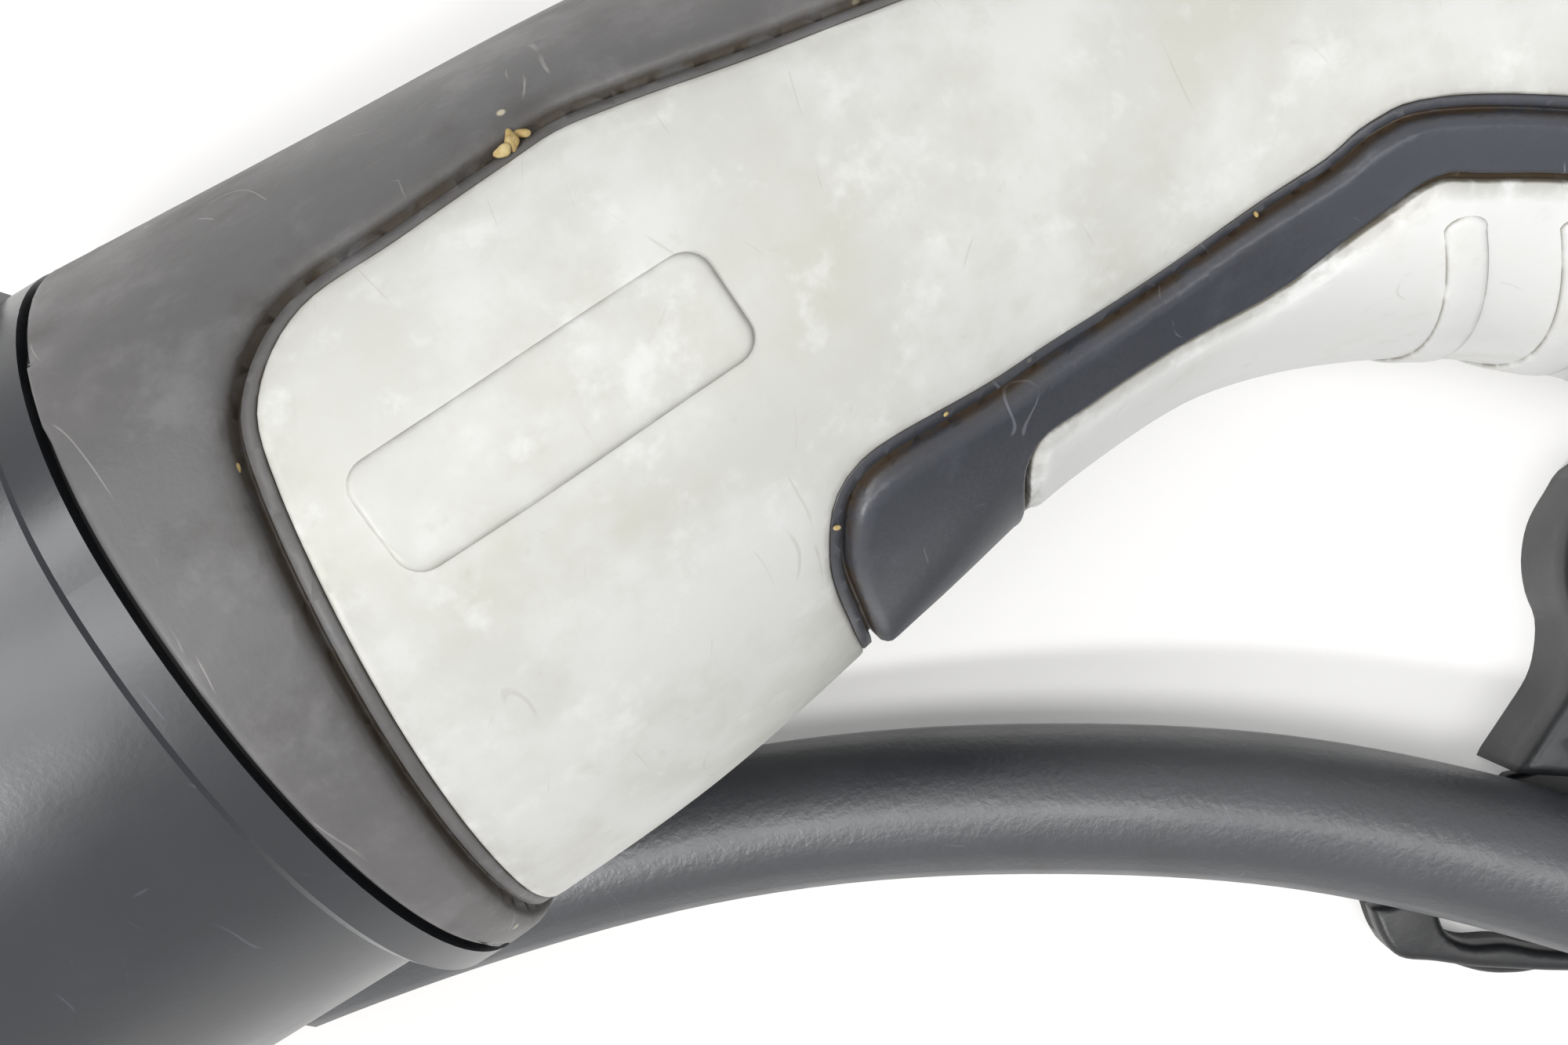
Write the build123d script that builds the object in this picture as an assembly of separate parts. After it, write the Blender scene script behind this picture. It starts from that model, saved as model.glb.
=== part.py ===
from build123d import *
import math
import os

# An electric-vehicle charging connector with a curved pistol grip, lying on its right flank, and its cable.
#
# The connector is drawn in its own frame: the nose axis is X, with the mating face towards -X, +Y is the
# flat-topped upper side and +Z the left flank. At the end everything is tilted nose-up about Y until the
# flange and the end cap both touch the floor, and moved so that the origin is under the middle of the
# connector. The cable lies on the floor, Z = 0. Lengths are in millimetres.

os.makedirs("parts", exist_ok=True)

# ---- mating face -------------------------------------------------------------------------------------------
NOSE_RADIUS = 28.0  # outside of the nose
NOSE_FLAT = 21.5  # height of the flat top above the nose axis
NOSE_FILLET = 0.8  # round rim
NOSE_CORNER = 5.0  # rounding where the flat meets the round
NOSE_LENGTH = 38.0  # in front of the flange
NOSE_WALL = 3.0
FLANGE = 2.8  # thickness of the flange behind the nose
FLANGE_CHAMFER = 0.6
SPIGOT = 12.0  # the part of the nose that sits inside the housing
SPIGOT_WALL = 1.6
SPIGOT_FIT = 0.3  # clearance round it
SEAL_GAP = 0.5  # between flange and housing, filled by a thin seal
SEAL_BACK = 1.2  # how far the seal stays below the outside
HOUSING_CHAMFER = 0.5
LATCH_SLOT = (14.0, 7.0, 2.0)  # along X, across, deep: the recess in the flat top that the car's bolt enters
LATCH_FROM_RIM = 10.0

PIN = 6.05  # bore of a power contact
PILOT_PIN = 3.05  # bore of a pilot contact
TOWER = 12.0  # outside of a power contact's tower
PILOT_TOWER = 8.5
TOWER_MARGIN = 2.0  # from the outermost towers to the inside of the nose
PITCH = NOSE_RADIUS - NOSE_WALL - TOWER / 2 - TOWER_MARGIN  # between power contacts
PILOT_UP = NOSE_FLAT - NOSE_WALL - PILOT_TOWER / 2 - TOWER_MARGIN
PILOT_ASIDE = 8.1
TOWER_RECESS = 7.0  # tower fronts behind the nose rim
TOWER_FILLET = 0.5
PLATE = 4.0  # carrier plate that the towers stand on
PLATE_FIT = 0.1  # clearance between plate and nose
SHOULDER = 4.0  # the plate's seat, in front of the housing
CHAMBER = 9.2  # bore of a tower
PILOT_CHAMBER = 5.2
CHAMBER_FIT = 0.2  # on the diameter
LEAD_IN = 1.4  # wall of the tower's front around the pin hole
PIN_ENTRY = 0.5  # the pin hole is this much wider than the contact's bore
RETAINER = 3.0
RETAINER_FIT = 0.3  # clearance round the retainer
BARREL_FIT = 0.4  # on the diameter, where the barrels pass through it
CONTACT_BORE_DEPTH = 26.0
SLIT = 0.8
SLIT_LENGTH = 14.0
BARREL = 7.5  # crimp barrel of a power contact
PILOT_BARREL = 3.8
BARREL_LENGTH = 13.0
CRIMP_DEPTH = 9.0
CRIMP_FIT = 0.1

# ---- housing -----------------------------------------------------------------------------------------------
# Sections along the grip: X and Y of the middle, the slope of the centre line in degrees, and the
# semi-axes of the section, up, down and to each side.
COLLAR = NOSE_RADIUS + 2.55  # radius of the round sides of the collar
COLLAR_TOP = NOSE_FLAT + 1.7
STATIONS = [
    (0.0, 0.0, 0.0, COLLAR_TOP, COLLAR, COLLAR),
    (18.0, 0.0, 0.0, COLLAR_TOP - 1.0, COLLAR - 1.15, COLLAR - 1.25),
    (37.0, 0.0, -1.0, COLLAR_TOP - 1.9, COLLAR - 4.45, COLLAR - 3.75),
    (53.1, -1.4, -8.0, 20.6, 22.4, 24.0),
    (69.2, -5.2, -22.0, 20.6, 20.0, 21.8),
    (86.2, -13.6, -37.0, 20.4, 19.2, 20.6),
    (97.8, -23.5, -45.0, 20.0, 18.8, 20.0),
    (109.5, -36.5, -50.0, 19.6, 18.8, 19.6),
    (120.5, -50.5, -53.0, 19.2, 18.8, 19.2),
    (131.0, -65.0, -54.5, 18.8, 18.6, 18.8),
    (141.0, -79.3, -55.0, 18.4, 18.4, 18.4),
]
PANEL_DROP = 0.8  # the pale side shells lie this much below the dark parts
PANEL_WALL = 1.8
INLAY_DROP = 0.3
LIP_GAP = 0.3  # between a shell and the lip it rests on
LIP = 1.5  # thickness of the lips
LIP_WIDTH = 3.0
SEAM = 0.35  # gap along the outlines
HALF_SEAM = 0.1  # from the middle plane to each side shell
RAIL_UP = 7.0  # edge of the upper rail above the centre line, along the grip
BAND_DOWN = 6.6  # upper edge of the grip band below the centre line
INLAY_DOWN = 10.8  # upper edge of the grip inlay below the centre line
INLAY_WALL = 1.7
INLAY_POCKET = 2.2  # depth of the band's pocket for the inlay
RIBS = 7
RIB_WIDTH = 2.3
RIB_PITCH = 6.3
RIB_FIRST = 74.0
RIB_MARGIN = 1.9  # from the inlay's edge to the ends of the ribs
RIB_PROUD = 0.65
FIELD_SIZE = (22.4, 6.9)  # raised field on the left shell
FIELD_AT = (23.4, -4.6)
FIELD_SLOPE = 3.0
FIELD_CORNER = 1.6
FIELD_PROUD = 0.35
ROOT = 0.8  # raised details reach this far into the moulding that carries them

# Upper edge of the left side shell, from under the belly to the start of the grip
PANEL_EDGE = [
    (2.6, -44.0),
    (4.2, -32.0),
    (7.2, -14.5),
    (9.2, -1.0),
    (10.7, 4.2),
    (14.8, 7.6),
    (21.0, 8.3),
    (28.1, 9.1),
    (31.2, 9.4),
    (34.8, 8.9),
    (42.5, 7.4),
    (50.0, 6.3),
]
# Upper edge of the grip band, from under the belly
BAND_EDGE = [
    (31.4, -40.0),
    (30.9, -25.0),
    (32.0, -19.6),
    (36.2, -15.8),
    (46.8, -15.8),
    (58.0, -15.5),
    (67.6, -14.9),
    (71.9, -14.3),
    (76.3, -15.2),
]
# Upper edge of the pale inlay in the band, from under the belly
INLAY_EDGE = [
    (46.4, -40.0),
    (45.4, -25.0),
    (46.3, -20.6),
    (51.0, -20.0),
    (62.5, -20.1),
    (70.4, -19.5),
    (74.2, -19.3),
    (77.4, -21.0),
]
# Its rounded rear end, down to under the belly
INLAY_REAR = [(116.4, -63.0), (117.4, -66.6), (115.6, -69.8), (111.0, -73.6), (100.0, -82.0)]

# ---- fasteners ---------------------------------------------------------------------------------------------
SCREW = 3.0
SCREW_HEAD = (5.4, 2.4)  # across, high
HEX, HEX_DEEP = 2.6, 1.4  # the socket in the head, across its corners
HEAD_FIT = 0.5
SCREW_HOLE_FIT = 0.3
BOSS = 6.0
BOSS_GAP = 0.2  # between the two bosses of a pair
WELL = 8.2  # outside of the bosses that the heads sink into
WELL_CLEAR = 0.6  # the lips are cut back round the bosses by this much, on the diameter
SCREW_GRIP = 8.0  # length of the screw in the left boss
SCREW_FLOOR = 3.0  # of plastic under the head
BOSSES_AT = [(24.2, -19.8), (46.0, 0.9), (79.2, -7.2), (112.3, -36.7)]
RETAINER_SCREW_RING = PITCH + 3.0  # the two lower screws lie on this radius
RETAINER_SCREW_ANGLE = 31.7  # below the flanks
SMALL_SCREW = 2.5
SMALL_HEAD = (4.4, 1.8)
SMALL_GRIP = 7.0
SMALL_BOSS, SMALL_BOSS_HIGH = 5.0, 4.0
SMALL_HEX, SMALL_HEX_DEEP = 2.0, 1.0
SMALL_FIT = 0.3  # clearance hole, on the diameter

# ---- cable entry -------------------------------------------------------------------------------------------
CABLE = 12.4
CABLE_FIT = 0.2  # on the diameter
CAP_LENGTH = 11.0
CAP_RADIUS = 21.0  # at its widest
CAP_ROUND = 2.6  # smaller at its rear end
CAP_SPIGOT = 4.0
CAP_FIT = 0.4
SLEEVE_NECK = 10.0  # radii
SLEEVE_FLANGE = 11.8
SLEEVE_BODY = 13.0
SLEEVE_TIP = 8.4
NECK_FIT = 0.1
SLEEVE_FLANGE_HIGH = 3.0
SLEEVE_COLLAR = 4.0  # length of its full width
SLEEVE_LENGTH = 38.0
SLEEVE_GROOVES = 6
SLEEVE_GROOVE = (1.3, 2.2)  # deep, wide
SLEEVE_GROOVE_FIRST, SLEEVE_GROOVE_PITCH = 7.0, 4.6
CAP_FACE = 3.0  # thickness of the cap's end wall
CAP_CHAMBER = 14.0  # radius inside the cap
GLAND_SEAL = 5.8
GLAND_RADIUS = 11.5
CLAMP = 8.0
CLAMP_AT = 13.0  # from the end of the housing to the far side of the clamp
CLAMP_CLEAR = 0.3
CLAMP_GAP = 1.0
CLAMP_SCREW_OUT = 10.2
CLAMP_SEAT = 4.5  # seat of the screw heads above the cable's middle
CLAMP_SCREW_DEEP = 5.8  # tips of the screws below it
SHEATH_INSIDE = 24.0  # the sheath starts this far inside the end cap
SHEATH_SHORT = 14.0  # the sheath ends this far before the sleeve's tip, where the loose cable starts
CORE = 3.4  # insulated power conductor
PILOT_CORE = 2.0
CORE_RING = 3.0  # radius of the ring that the five power conductors form
PILOT_RING = 4.6  # the pilot wire lies outside, in the furrow between two of them
FAN_FROM, FAN_TO = 16.0, 34.0  # along X, where the conductors come together
# Middle of the bundle in X and Y, from there to the front of the sheath
BUNDLE = [(34.0, -7.6), (57.5, -9.8), (77.2, -18.6), (92.4, -29.4), (108.3, -45.7)]
BUNDLE_END = 8.0  # the bundle is back on the cable's axis this far before the sheath
BEND = 22.0  # radius of the bundle's bends
FAN_BEND = 14.0  # radius of each conductor's bends between contact and bundle
RESISTOR = (2.6, 6.5)
RESISTOR_LEG = 0.8
RESISTOR_BEND = 1.2
RESISTOR_AT = 12.6  # along X
RESISTOR_SHARE = 0.56  # its middle lies this far out from the nose axis towards its contact

# ---- cable on the floor ------------------------------------------------------------------------------------
# Points of the route in the connector's own X and Y, with the height of the centre line above the floor
COIL_AT = (128.0, -214.0)
COIL_RADIUS = 62.0  # middle of the turns
COIL_COLUMNS = 2
COIL_LAYERS = 4
COIL_TURNS = 7.58  # wound turns, which give the length of cable in the coil
LEAD_ROUTE = [
    (185.6, -154.0, 13.0),
    (193.4, -184.0, 7.5),
    (196.2, -214.0, 6.2),
]
LEAD_CORNER = 62.0  # first bend of the route, from the end of the housing along the grip's axis
RUN_ROUTE = [
    (67.8, -182.0, 43.4),
    (81.0, -159.2, 42.9),
    (90.3, -132.8, 32.0),
    (89.8, -108.8, 20.5),
    (81.0, -86.5, 12.4),
    (62.8, -66.2, 8.9),
    (46.0, -52.3, 7.8),
    (18.3, -36.8, 6.2),
    (-9.9, -28.2, 6.2),
    (-26.0, -25.6, 6.2),
]
BARE_CORES = 22.0  # length of the conductors past the sheath
SPLAY_FROM, SPLAY_BEND = 5.0, 12.0  # they fan out this far past the sheath, with bends of this radius
FERRULE = (2.6, 8.0)
PILOT_FERRULE = 1.6

# ---- rubber strap under the cable --------------------------------------------------------------------------
STRAP_BASE = 1.8
STRAP_HIGH = 9.0
HOOK_HIGH = 4.0
# The lobe's outline, smooth from its corner beside the cable round to the same corner
LOBE = [
    (70.1, -64.5), (74.0, -62.5), (76.9, -61.0), (78.7, -59.3), (80.2, -57.0), (80.7, -54.6), (81.8, -52.1),
    (83.8, -49.7), (86.4, -48.1), (89.5, -47.0), (96.0, -48.5), (101.5, -56.0), (101.0, -66.0), (95.0, -73.5),
    (86.0, -75.0), (77.0, -69.5),
]
HOOK_OUTER = [
    (54.8, -70.0), (54.3, -72.6), (54.7, -74.9), (57.2, -76.9), (60.0, -80.0), (62.6, -81.7), (65.8, -83.1),
    (70.5, -86.4),
]
HOOK_INNER = [
    (72.8, -84.6), (68.2, -82.3), (65.2, -80.4), (62.9, -78.4), (60.4, -77.0), (59.2, -75.4), (59.3, -73.6),
    (60.4, -71.6),
]
# The thin web under the cable, which joins the lobe and the two ends of the hook
WEB = [
    (54.8, -70.0), (57.5, -66.5), (68.5, -63.5), (78.0, -70.0), (88.0, -76.0), (88.0, -88.0), (72.8, -90.0),
    (70.5, -86.4), (72.8, -84.6), (71.0, -79.0), (66.0, -73.5), (60.4, -71.6),
]


# ---- helpers -----------------------------------------------------------------------------------------------
REACH = 200.0  # half the size of a block that cuts right through the connector
ON_BASE = (Align.CENTER, Align.CENTER, Align.MIN)


def forward_plane(x):
    """A plane across the nose axis: local X is the left flank, local Y is up, and it faces forwards."""
    return Plane(origin=(x, 0, 0), x_dir=(0, 0, 1), z_dir=(-1, 0, 0))


def bar(sketch, x_from, x_to):
    """A sketch pulled along the nose axis between two stations."""
    return forward_plane(x_to) * extrude(sketch, x_to - x_from)


def rod(y, z, diameter, x_from, x_to):
    """A round bar along the nose axis."""
    return bar(Pos(z, y) * Circle(diameter / 2), x_from, x_to)


def d_shape(radius, flat, corner):
    """The outline of the nose: a circle with a flat top and rounded corners."""
    face = Circle(radius) - Pos(0, flat + radius) * Rectangle(2 * radius, 2 * radius)
    return fillet(face.vertices(), corner)


def grip_section(station, grow):
    """One section of the housing, grown or shrunk all round by the same amount."""
    x, y, slope, up, down, side = station
    across = Vector(-math.cos(math.radians(slope)), -math.sin(math.radians(slope)), 0)
    plane = Plane(origin=(x, y, 0), x_dir=(0, 0, 1), z_dir=across)
    top = EllipticalCenterArc((0, 0), side + grow, up + grow, start_angle=0, arc_size=180)
    bottom = EllipticalCenterArc((0, 0), side + grow, down + grow, start_angle=180, arc_size=180)
    return plane * make_face(Wire([top, bottom]))


def grip_body(grow):
    """The whole curved housing as one solid, its surface moved out by grow."""
    return loft([grip_section(s, grow) for s in STATIONS])


def up_from(station):
    """The direction away from the belly at a section."""
    slope = math.radians(station[2])
    return Vector(-math.sin(slope), math.cos(slope), 0)


def along_grip(first, height, past=0.0):
    """Points at one height over the centre line, from a section to the end of the grip and past it."""
    points = [Vector(*s[:2], 0) + up_from(s) * height for s in STATIONS[first:]]
    end = math.radians(STATIONS[-1][2])
    if past:
        points.append(points[-1] + Vector(math.cos(end), math.sin(end), 0) * past)
    return [(p.X, p.Y) for p in points]


def moved_out(points, by):
    """Points moved square to the line that they form, to its left."""
    out = []
    for i, (x, y) in enumerate(points):
        before, after = points[max(i - 1, 0)], points[min(i + 1, len(points) - 1)]
        dx, dy = after[0] - before[0], after[1] - before[1]
        length = math.hypot(dx, dy)
        out.append((x - by * dy / length, y + by * dx / length))
    return out


def side_prism(edge, corners):
    """Everything between a smooth edge and straight lines through the corners, right through the body."""
    outline = Spline(*edge) + Polyline(edge[-1], *corners, edge[0])
    return extrude(make_face(outline), REACH, both=True)


def dark_region(by=0.0):
    """The collar and the upper rail, seen from the side. by moves its edge into the side shells."""
    edge = moved_out(PANEL_EDGE + along_grip(4, RAIL_UP, 20), -by)
    return side_prism(edge, [(REACH, -60), (REACH, REACH), (-REACH, REACH), (-REACH, edge[0][1])])


def band_region(by=0.0):
    """The grip band with its inlay, seen from the side. by moves its edge outwards."""
    edge = moved_out(BAND_EDGE + along_grip(5, -BAND_DOWN, 20), by)
    return side_prism(edge, [(edge[-1][0], -REACH), (edge[0][0], -REACH)])


def inlay_region(by=0.0):
    """The grip inlay, seen from the side. by moves its edge outwards."""
    edge = INLAY_EDGE + along_grip(6, -INLAY_DOWN)[:3] + INLAY_REAR
    return side_prism(moved_out(edge, by), [(60, -REACH)])


def drum(y, x, diameter, z_from, z_to):
    """A round bar across the connector, from one height on Z to another."""
    return Pos(x, y, z_from) * Cylinder(diameter / 2, z_to - z_from, align=ON_BASE)


def on_axis(distance):
    """A plane across the grip's end, that far behind the end of the housing, facing backwards."""
    x, y, slope = STATIONS[-1][:3]
    back = Vector(math.cos(math.radians(slope)), math.sin(math.radians(slope)), 0)
    return Plane(origin=Vector(x, y, 0) + back * distance, x_dir=(0, 0, 1), z_dir=back)


def ring_about_axis(profile):
    """A turned part about the grip's axis. The profile holds pairs of radius and distance from the
    end of the housing."""
    return on_axis(0) * revolve(Plane.XZ * make_face(Polyline(*profile, close=True)), Axis.Z)


def clamp_bar(aside, diameter, low, high):
    """A round bar across the cable clamp, from one height over the cable's middle to another."""
    upright = on_axis(-CLAMP_AT + CLAMP / 2) * Pos(aside, low, 0) * Rot(-90, 0, 0)
    return upright * Cylinder(diameter / 2, high - low, align=ON_BASE)


def tube_along(points, radii, diameter):
    """A round tube whose straight runs are joined by tangent arcs."""
    path = FilletPolyline(*points, radius=radii)
    start = Plane(origin=path @ 0, z_dir=path % 0)
    return sweep(start * Circle(diameter / 2), path=path)


def bend_radii(points, share=0.45):
    """For each inner point, the largest radius that the two runs beside it leave room for."""
    points = [Vector(*p) for p in points]
    radii = []
    for a, b, c in zip(points, points[1:], points[2:]):
        turn = math.radians((b - a).get_angle(c - b))
        radii.append(share * min((b - a).length, (c - b).length) / math.tan(turn / 2))
    return radii


parts = {}  # the connector, in its own frame
cord_parts = {}  # the cable and what is on it, on the floor


def ellipses(side, up, down):
    """An outline of two half ellipses that share their width."""
    top = EllipticalCenterArc((0, 0), side, up, start_angle=0, arc_size=180)
    bottom = EllipticalCenterArc((0, 0), side, down, start_angle=180, arc_size=180)
    return make_face(Wire([top, bottom]))


# ---- housing shells ----------------------------------------------------------------------------------------
INSIDE = PANEL_DROP + PANEL_WALL + LIP_GAP + LIP
outer = grip_body(0)
panel_out = grip_body(-PANEL_DROP)
panel_in = grip_body(-PANEL_DROP - PANEL_WALL)
lip_out = grip_body(-PANEL_DROP - PANEL_WALL - LIP_GAP)
cavity = grip_body(-INSIDE)
front_gap = Pos(SEAL_GAP - REACH, 0, 0) * Box(2 * REACH, 2 * REACH, 2 * REACH)

housing = (outer - cavity) & dark_region()
lip = (lip_out - cavity) & (dark_region(LIP_WIDTH) - dark_region(-0.01))
for x, y in BOSSES_AT:
    lip -= drum(y, x, WELL + WELL_CLEAR, -REACH, REACH)
housing = housing + lip - front_gap
parts["front_housing"] = housing

# The band is one moulding round the belly, with lips on both sides and a pocket for the inlay
band = (outer - cavity) & band_region()
band_lip = (lip_out - cavity) & (band_region(LIP_WIDTH) - band_region(-0.01))
pocket = (outer - grip_body(-INLAY_POCKET)) & inlay_region(SEAM)
parts["grip_band"] = band + band_lip - dark_region(LIP_WIDTH + 1.0) - pocket

inlay = (grip_body(-INLAY_DROP) - grip_body(-INLAY_DROP - INLAY_WALL)) & inlay_region()
rib_zone = (grip_body(RIB_PROUD - INLAY_DROP) - grip_body(-INLAY_DROP - ROOT)) & inlay_region(-RIB_MARGIN)
for i in range(RIBS):
    slab = Pos(RIB_FIRST + RIB_WIDTH / 2 + i * RIB_PITCH, 0, 0) * Box(RIB_WIDTH, 2 * REACH, 2 * REACH)
    inlay += rib_zone & slab
parts["grip_inlay"] = inlay

# The pale side shells fill what is left, one on each side of the middle plane
skin = (panel_out - panel_in) - dark_region(SEAM) - band_region(SEAM)
head_across, head_high = SCREW_HEAD
screws = []
for side, name in ((1, "side_shell_left"), (-1, "side_shell_right")):
    half = Pos(0, 0, side * (REACH + HALF_SEAM)) * Box(2 * REACH, 2 * REACH, 2 * REACH)
    shell = skin & half
    for x, y in BOSSES_AT:
        if side > 0:
            shell += drum(y, x, BOSS, BOSS_GAP / 2, REACH) & panel_out
        else:
            shell += drum(y, x, WELL, -REACH, -BOSS_GAP / 2) & panel_out
    for x, y in BOSSES_AT:
        if side > 0:
            shell -= drum(y, x, SCREW, -1, SCREW_GRIP)
        else:
            shell -= drum(y, x, SCREW + SCREW_HOLE_FIT, -SCREW_FLOOR - 1, 1)
            shell -= drum(y, x, head_across + HEAD_FIT, -REACH, -SCREW_FLOOR - BOSS_GAP / 2)
    if side > 0:
        field = Pos(*FIELD_AT, 0) * Rot(0, 0, FIELD_SLOPE) * extrude(
            RectangleRounded(*FIELD_SIZE, FIELD_CORNER), REACH
        )
        shell += (grip_body(FIELD_PROUD - PANEL_DROP) - grip_body(-PANEL_DROP - ROOT)) & field
    parts[name] = shell
for x, y in BOSSES_AT:
    seat = -SCREW_FLOOR - BOSS_GAP / 2
    screw = drum(y, x, SCREW, seat, SCREW_GRIP) + drum(y, x, head_across, seat - head_high, seat)
    socket = Pos(x, y, seat - head_high) * extrude(RegularPolygon(HEX / 2, 6), HEX_DEEP)
    screws.append(screw - socket)
parts["housing_screws"] = Compound(screws)

# ---- nose and contacts -------------------------------------------------------------------------------------
rim = -(FLANGE + NOSE_LENGTH)
tower_front = rim + TOWER_RECESS
side0, up0, down0 = STATIONS[0][5], STATIONS[0][3], STATIONS[0][4]
cut = FLANGE_CHAMFER
flange = bar(ellipses(side0, up0, down0), -FLANGE + cut, 0)
flange += loft(
    [
        forward_plane(-FLANGE) * ellipses(side0 - cut, up0 - cut, down0 - cut),
        forward_plane(-FLANGE + cut) * ellipses(side0, up0, down0),
    ]
)
nose = bar(d_shape(NOSE_RADIUS, NOSE_FLAT, NOSE_CORNER), rim, -FLANGE)
nose = fillet(nose.faces().sort_by(Axis.X)[0].edges(), NOSE_FILLET)
inner_d = d_shape(NOSE_RADIUS - NOSE_WALL, NOSE_FLAT - NOSE_WALL, NOSE_CORNER - 2)
block = grip_body(-INSIDE - SPIGOT_FIT) & (Pos(SPIGOT / 2, 0, 0) * Box(SPIGOT, REACH, REACH))
hole_side, hole_up = side0 - INSIDE - SPIGOT_FIT - SPIGOT_WALL - 0.25, up0 - INSIDE - SPIGOT_FIT - SPIGOT_WALL
front_hole = bar(ellipses(hole_side, hole_up, hole_side), -SHOULDER, SPIGOT)
slot_x, slot_across, slot_deep = LATCH_SLOT
latch = Pos(rim + LATCH_FROM_RIM + slot_x / 2, NOSE_FLAT, 0) * Box(slot_x, 2 * slot_deep, slot_across)
parts["nose_sleeve"] = flange + nose + block - bar(inner_d, rim, -SHOULDER) - front_hole - latch

seal = ellipses(side0 - SEAL_BACK, up0 - SEAL_BACK, down0 - SEAL_BACK)
parts["flange_seal"] = bar(seal, 0, SEAL_GAP) - grip_body(-INSIDE - SPIGOT_FIT + 0.1)

# Y and Z of each contact. The last two are the thin pilot contacts.
contacts = {
    "pe": (0.0, 0.0),
    "l1": (0.0, PITCH),
    "n": (0.0, -PITCH),
    "l2": (-PITCH * math.sin(math.radians(60)), PITCH / 2),
    "l3": (-PITCH * math.sin(math.radians(60)), -PITCH / 2),
    "cp": (PILOT_UP, PILOT_ASIDE),
    "pp": (PILOT_UP, -PILOT_ASIDE),
}
plate_back = -SHOULDER
plate_front = plate_back - PLATE
contact_front = tower_front + LEAD_IN
barrel_back = plate_back + BARREL_LENGTH
plate_radius, plate_flat = NOSE_RADIUS - NOSE_WALL - PLATE_FIT, NOSE_FLAT - NOSE_WALL - PLATE_FIT
carrier = bar(d_shape(plate_radius, plate_flat, NOSE_CORNER - 2 - PLATE_FIT), plate_front, plate_back)
retainer_side, retainer_up = hole_side - RETAINER_FIT, hole_up - RETAINER_FIT
retainer_back = plate_back + RETAINER
retainer = bar(ellipses(retainer_side, retainer_up, retainer_side), plate_back, retainer_back)
low, wide = math.sin(math.radians(RETAINER_SCREW_ANGLE)), math.cos(math.radians(RETAINER_SCREW_ANGLE))
small_screws_at = [(PILOT_UP + 0.8, 0.0)]
small_screws_at += [(-RETAINER_SCREW_RING * low, side * RETAINER_SCREW_RING * wide) for side in (1, -1)]
for y, z in small_screws_at:
    carrier += rod(y, z, SMALL_BOSS, plate_front - SMALL_BOSS_HIGH, plate_front)
for name, (y, z) in contacts.items():
    thin = name in ("cp", "pp")
    tower = rod(y, z, PILOT_TOWER if thin else TOWER, tower_front, plate_front)
    carrier += fillet(tower.faces().sort_by(Axis.X)[0].edges(), TOWER_FILLET)
for name, (y, z) in contacts.items():
    thin = name in ("cp", "pp")
    chamber, pin = (PILOT_CHAMBER, PILOT_PIN) if thin else (CHAMBER, PIN)
    barrel, crimp = (PILOT_BARREL, PILOT_CORE) if thin else (BARREL, CORE)
    if name == "pp":
        crimp = RESISTOR_LEG
    carrier -= rod(y, z, chamber, contact_front, plate_back)
    carrier -= rod(y, z, pin + PIN_ENTRY, tower_front, contact_front)
    retainer -= rod(y, z, barrel + BARREL_FIT, plate_back, retainer_back)
    contact = rod(y, z, chamber - CHAMBER_FIT, contact_front, plate_back)
    contact += rod(y, z, barrel, plate_back, barrel_back)
    contact -= rod(y, z, pin, contact_front, contact_front + CONTACT_BORE_DEPTH)
    contact -= rod(y, z, crimp + CRIMP_FIT, barrel_back - CRIMP_DEPTH, barrel_back)
    for turn in (45, 135):
        slit = Box(SLIT_LENGTH, SLIT, 2 * chamber)
        contact -= Pos(contact_front + SLIT_LENGTH / 2, y, z) * Rot(turn, 0, 0) * slit
    parts["contact_" + name] = contact
small_across, small_high = SMALL_HEAD
small_screws = []
for y, z in small_screws_at:
    carrier -= rod(y, z, SMALL_SCREW, plate_back - SMALL_GRIP, plate_back)
    retainer -= rod(y, z, SMALL_SCREW + SMALL_FIT, plate_back, retainer_back)
    screw = rod(y, z, SMALL_SCREW, plate_back - SMALL_GRIP, retainer_back)
    screw += rod(y, z, small_across, retainer_back, retainer_back + small_high)
    socket_front = retainer_back + small_high - SMALL_HEX_DEEP
    socket = bar(Pos(z, y) * RegularPolygon(SMALL_HEX / 2, 6), socket_front, retainer_back + small_high)
    small_screws.append(screw - socket)
parts["contact_carrier"] = carrier
parts["contact_retainer"] = retainer
parts["retainer_screws"] = Compound(small_screws)

# ---- conductors inside the grip ----------------------------------------------------------------------------
# Each conductor's place round the bundle, as an angle from the left flank towards the top
slots = {"pe": 90, "l1": 18, "n": 162, "l2": -54, "l3": -126, "cp": 54}
sheath_front = on_axis(-SHEATH_INSIDE).origin
back_dir = on_axis(0).z_dir
centred = sheath_front - back_dir * BUNDLE_END
bundle = [Vector(*p, 0) for p in BUNDLE] + [centred, sheath_front]
conductor_start = barrel_back - CRIMP_DEPTH


def beside(line, by):
    """A line in the middle plane, moved sideways, with its corners kept on the bisectors."""
    out = []
    for i, point in enumerate(line):
        before = line[i] - line[i - 1] if i else line[1] - line[0]
        after = line[i + 1] - line[i] if i + 1 < len(line) else before
        n1 = Vector(-before.Y, before.X, 0).normalized()
        n2 = Vector(-after.Y, after.X, 0).normalized()
        middle = (n1 + n2).normalized()
        out.append(point + middle * (by / middle.dot(n1)))
    return out


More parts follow.
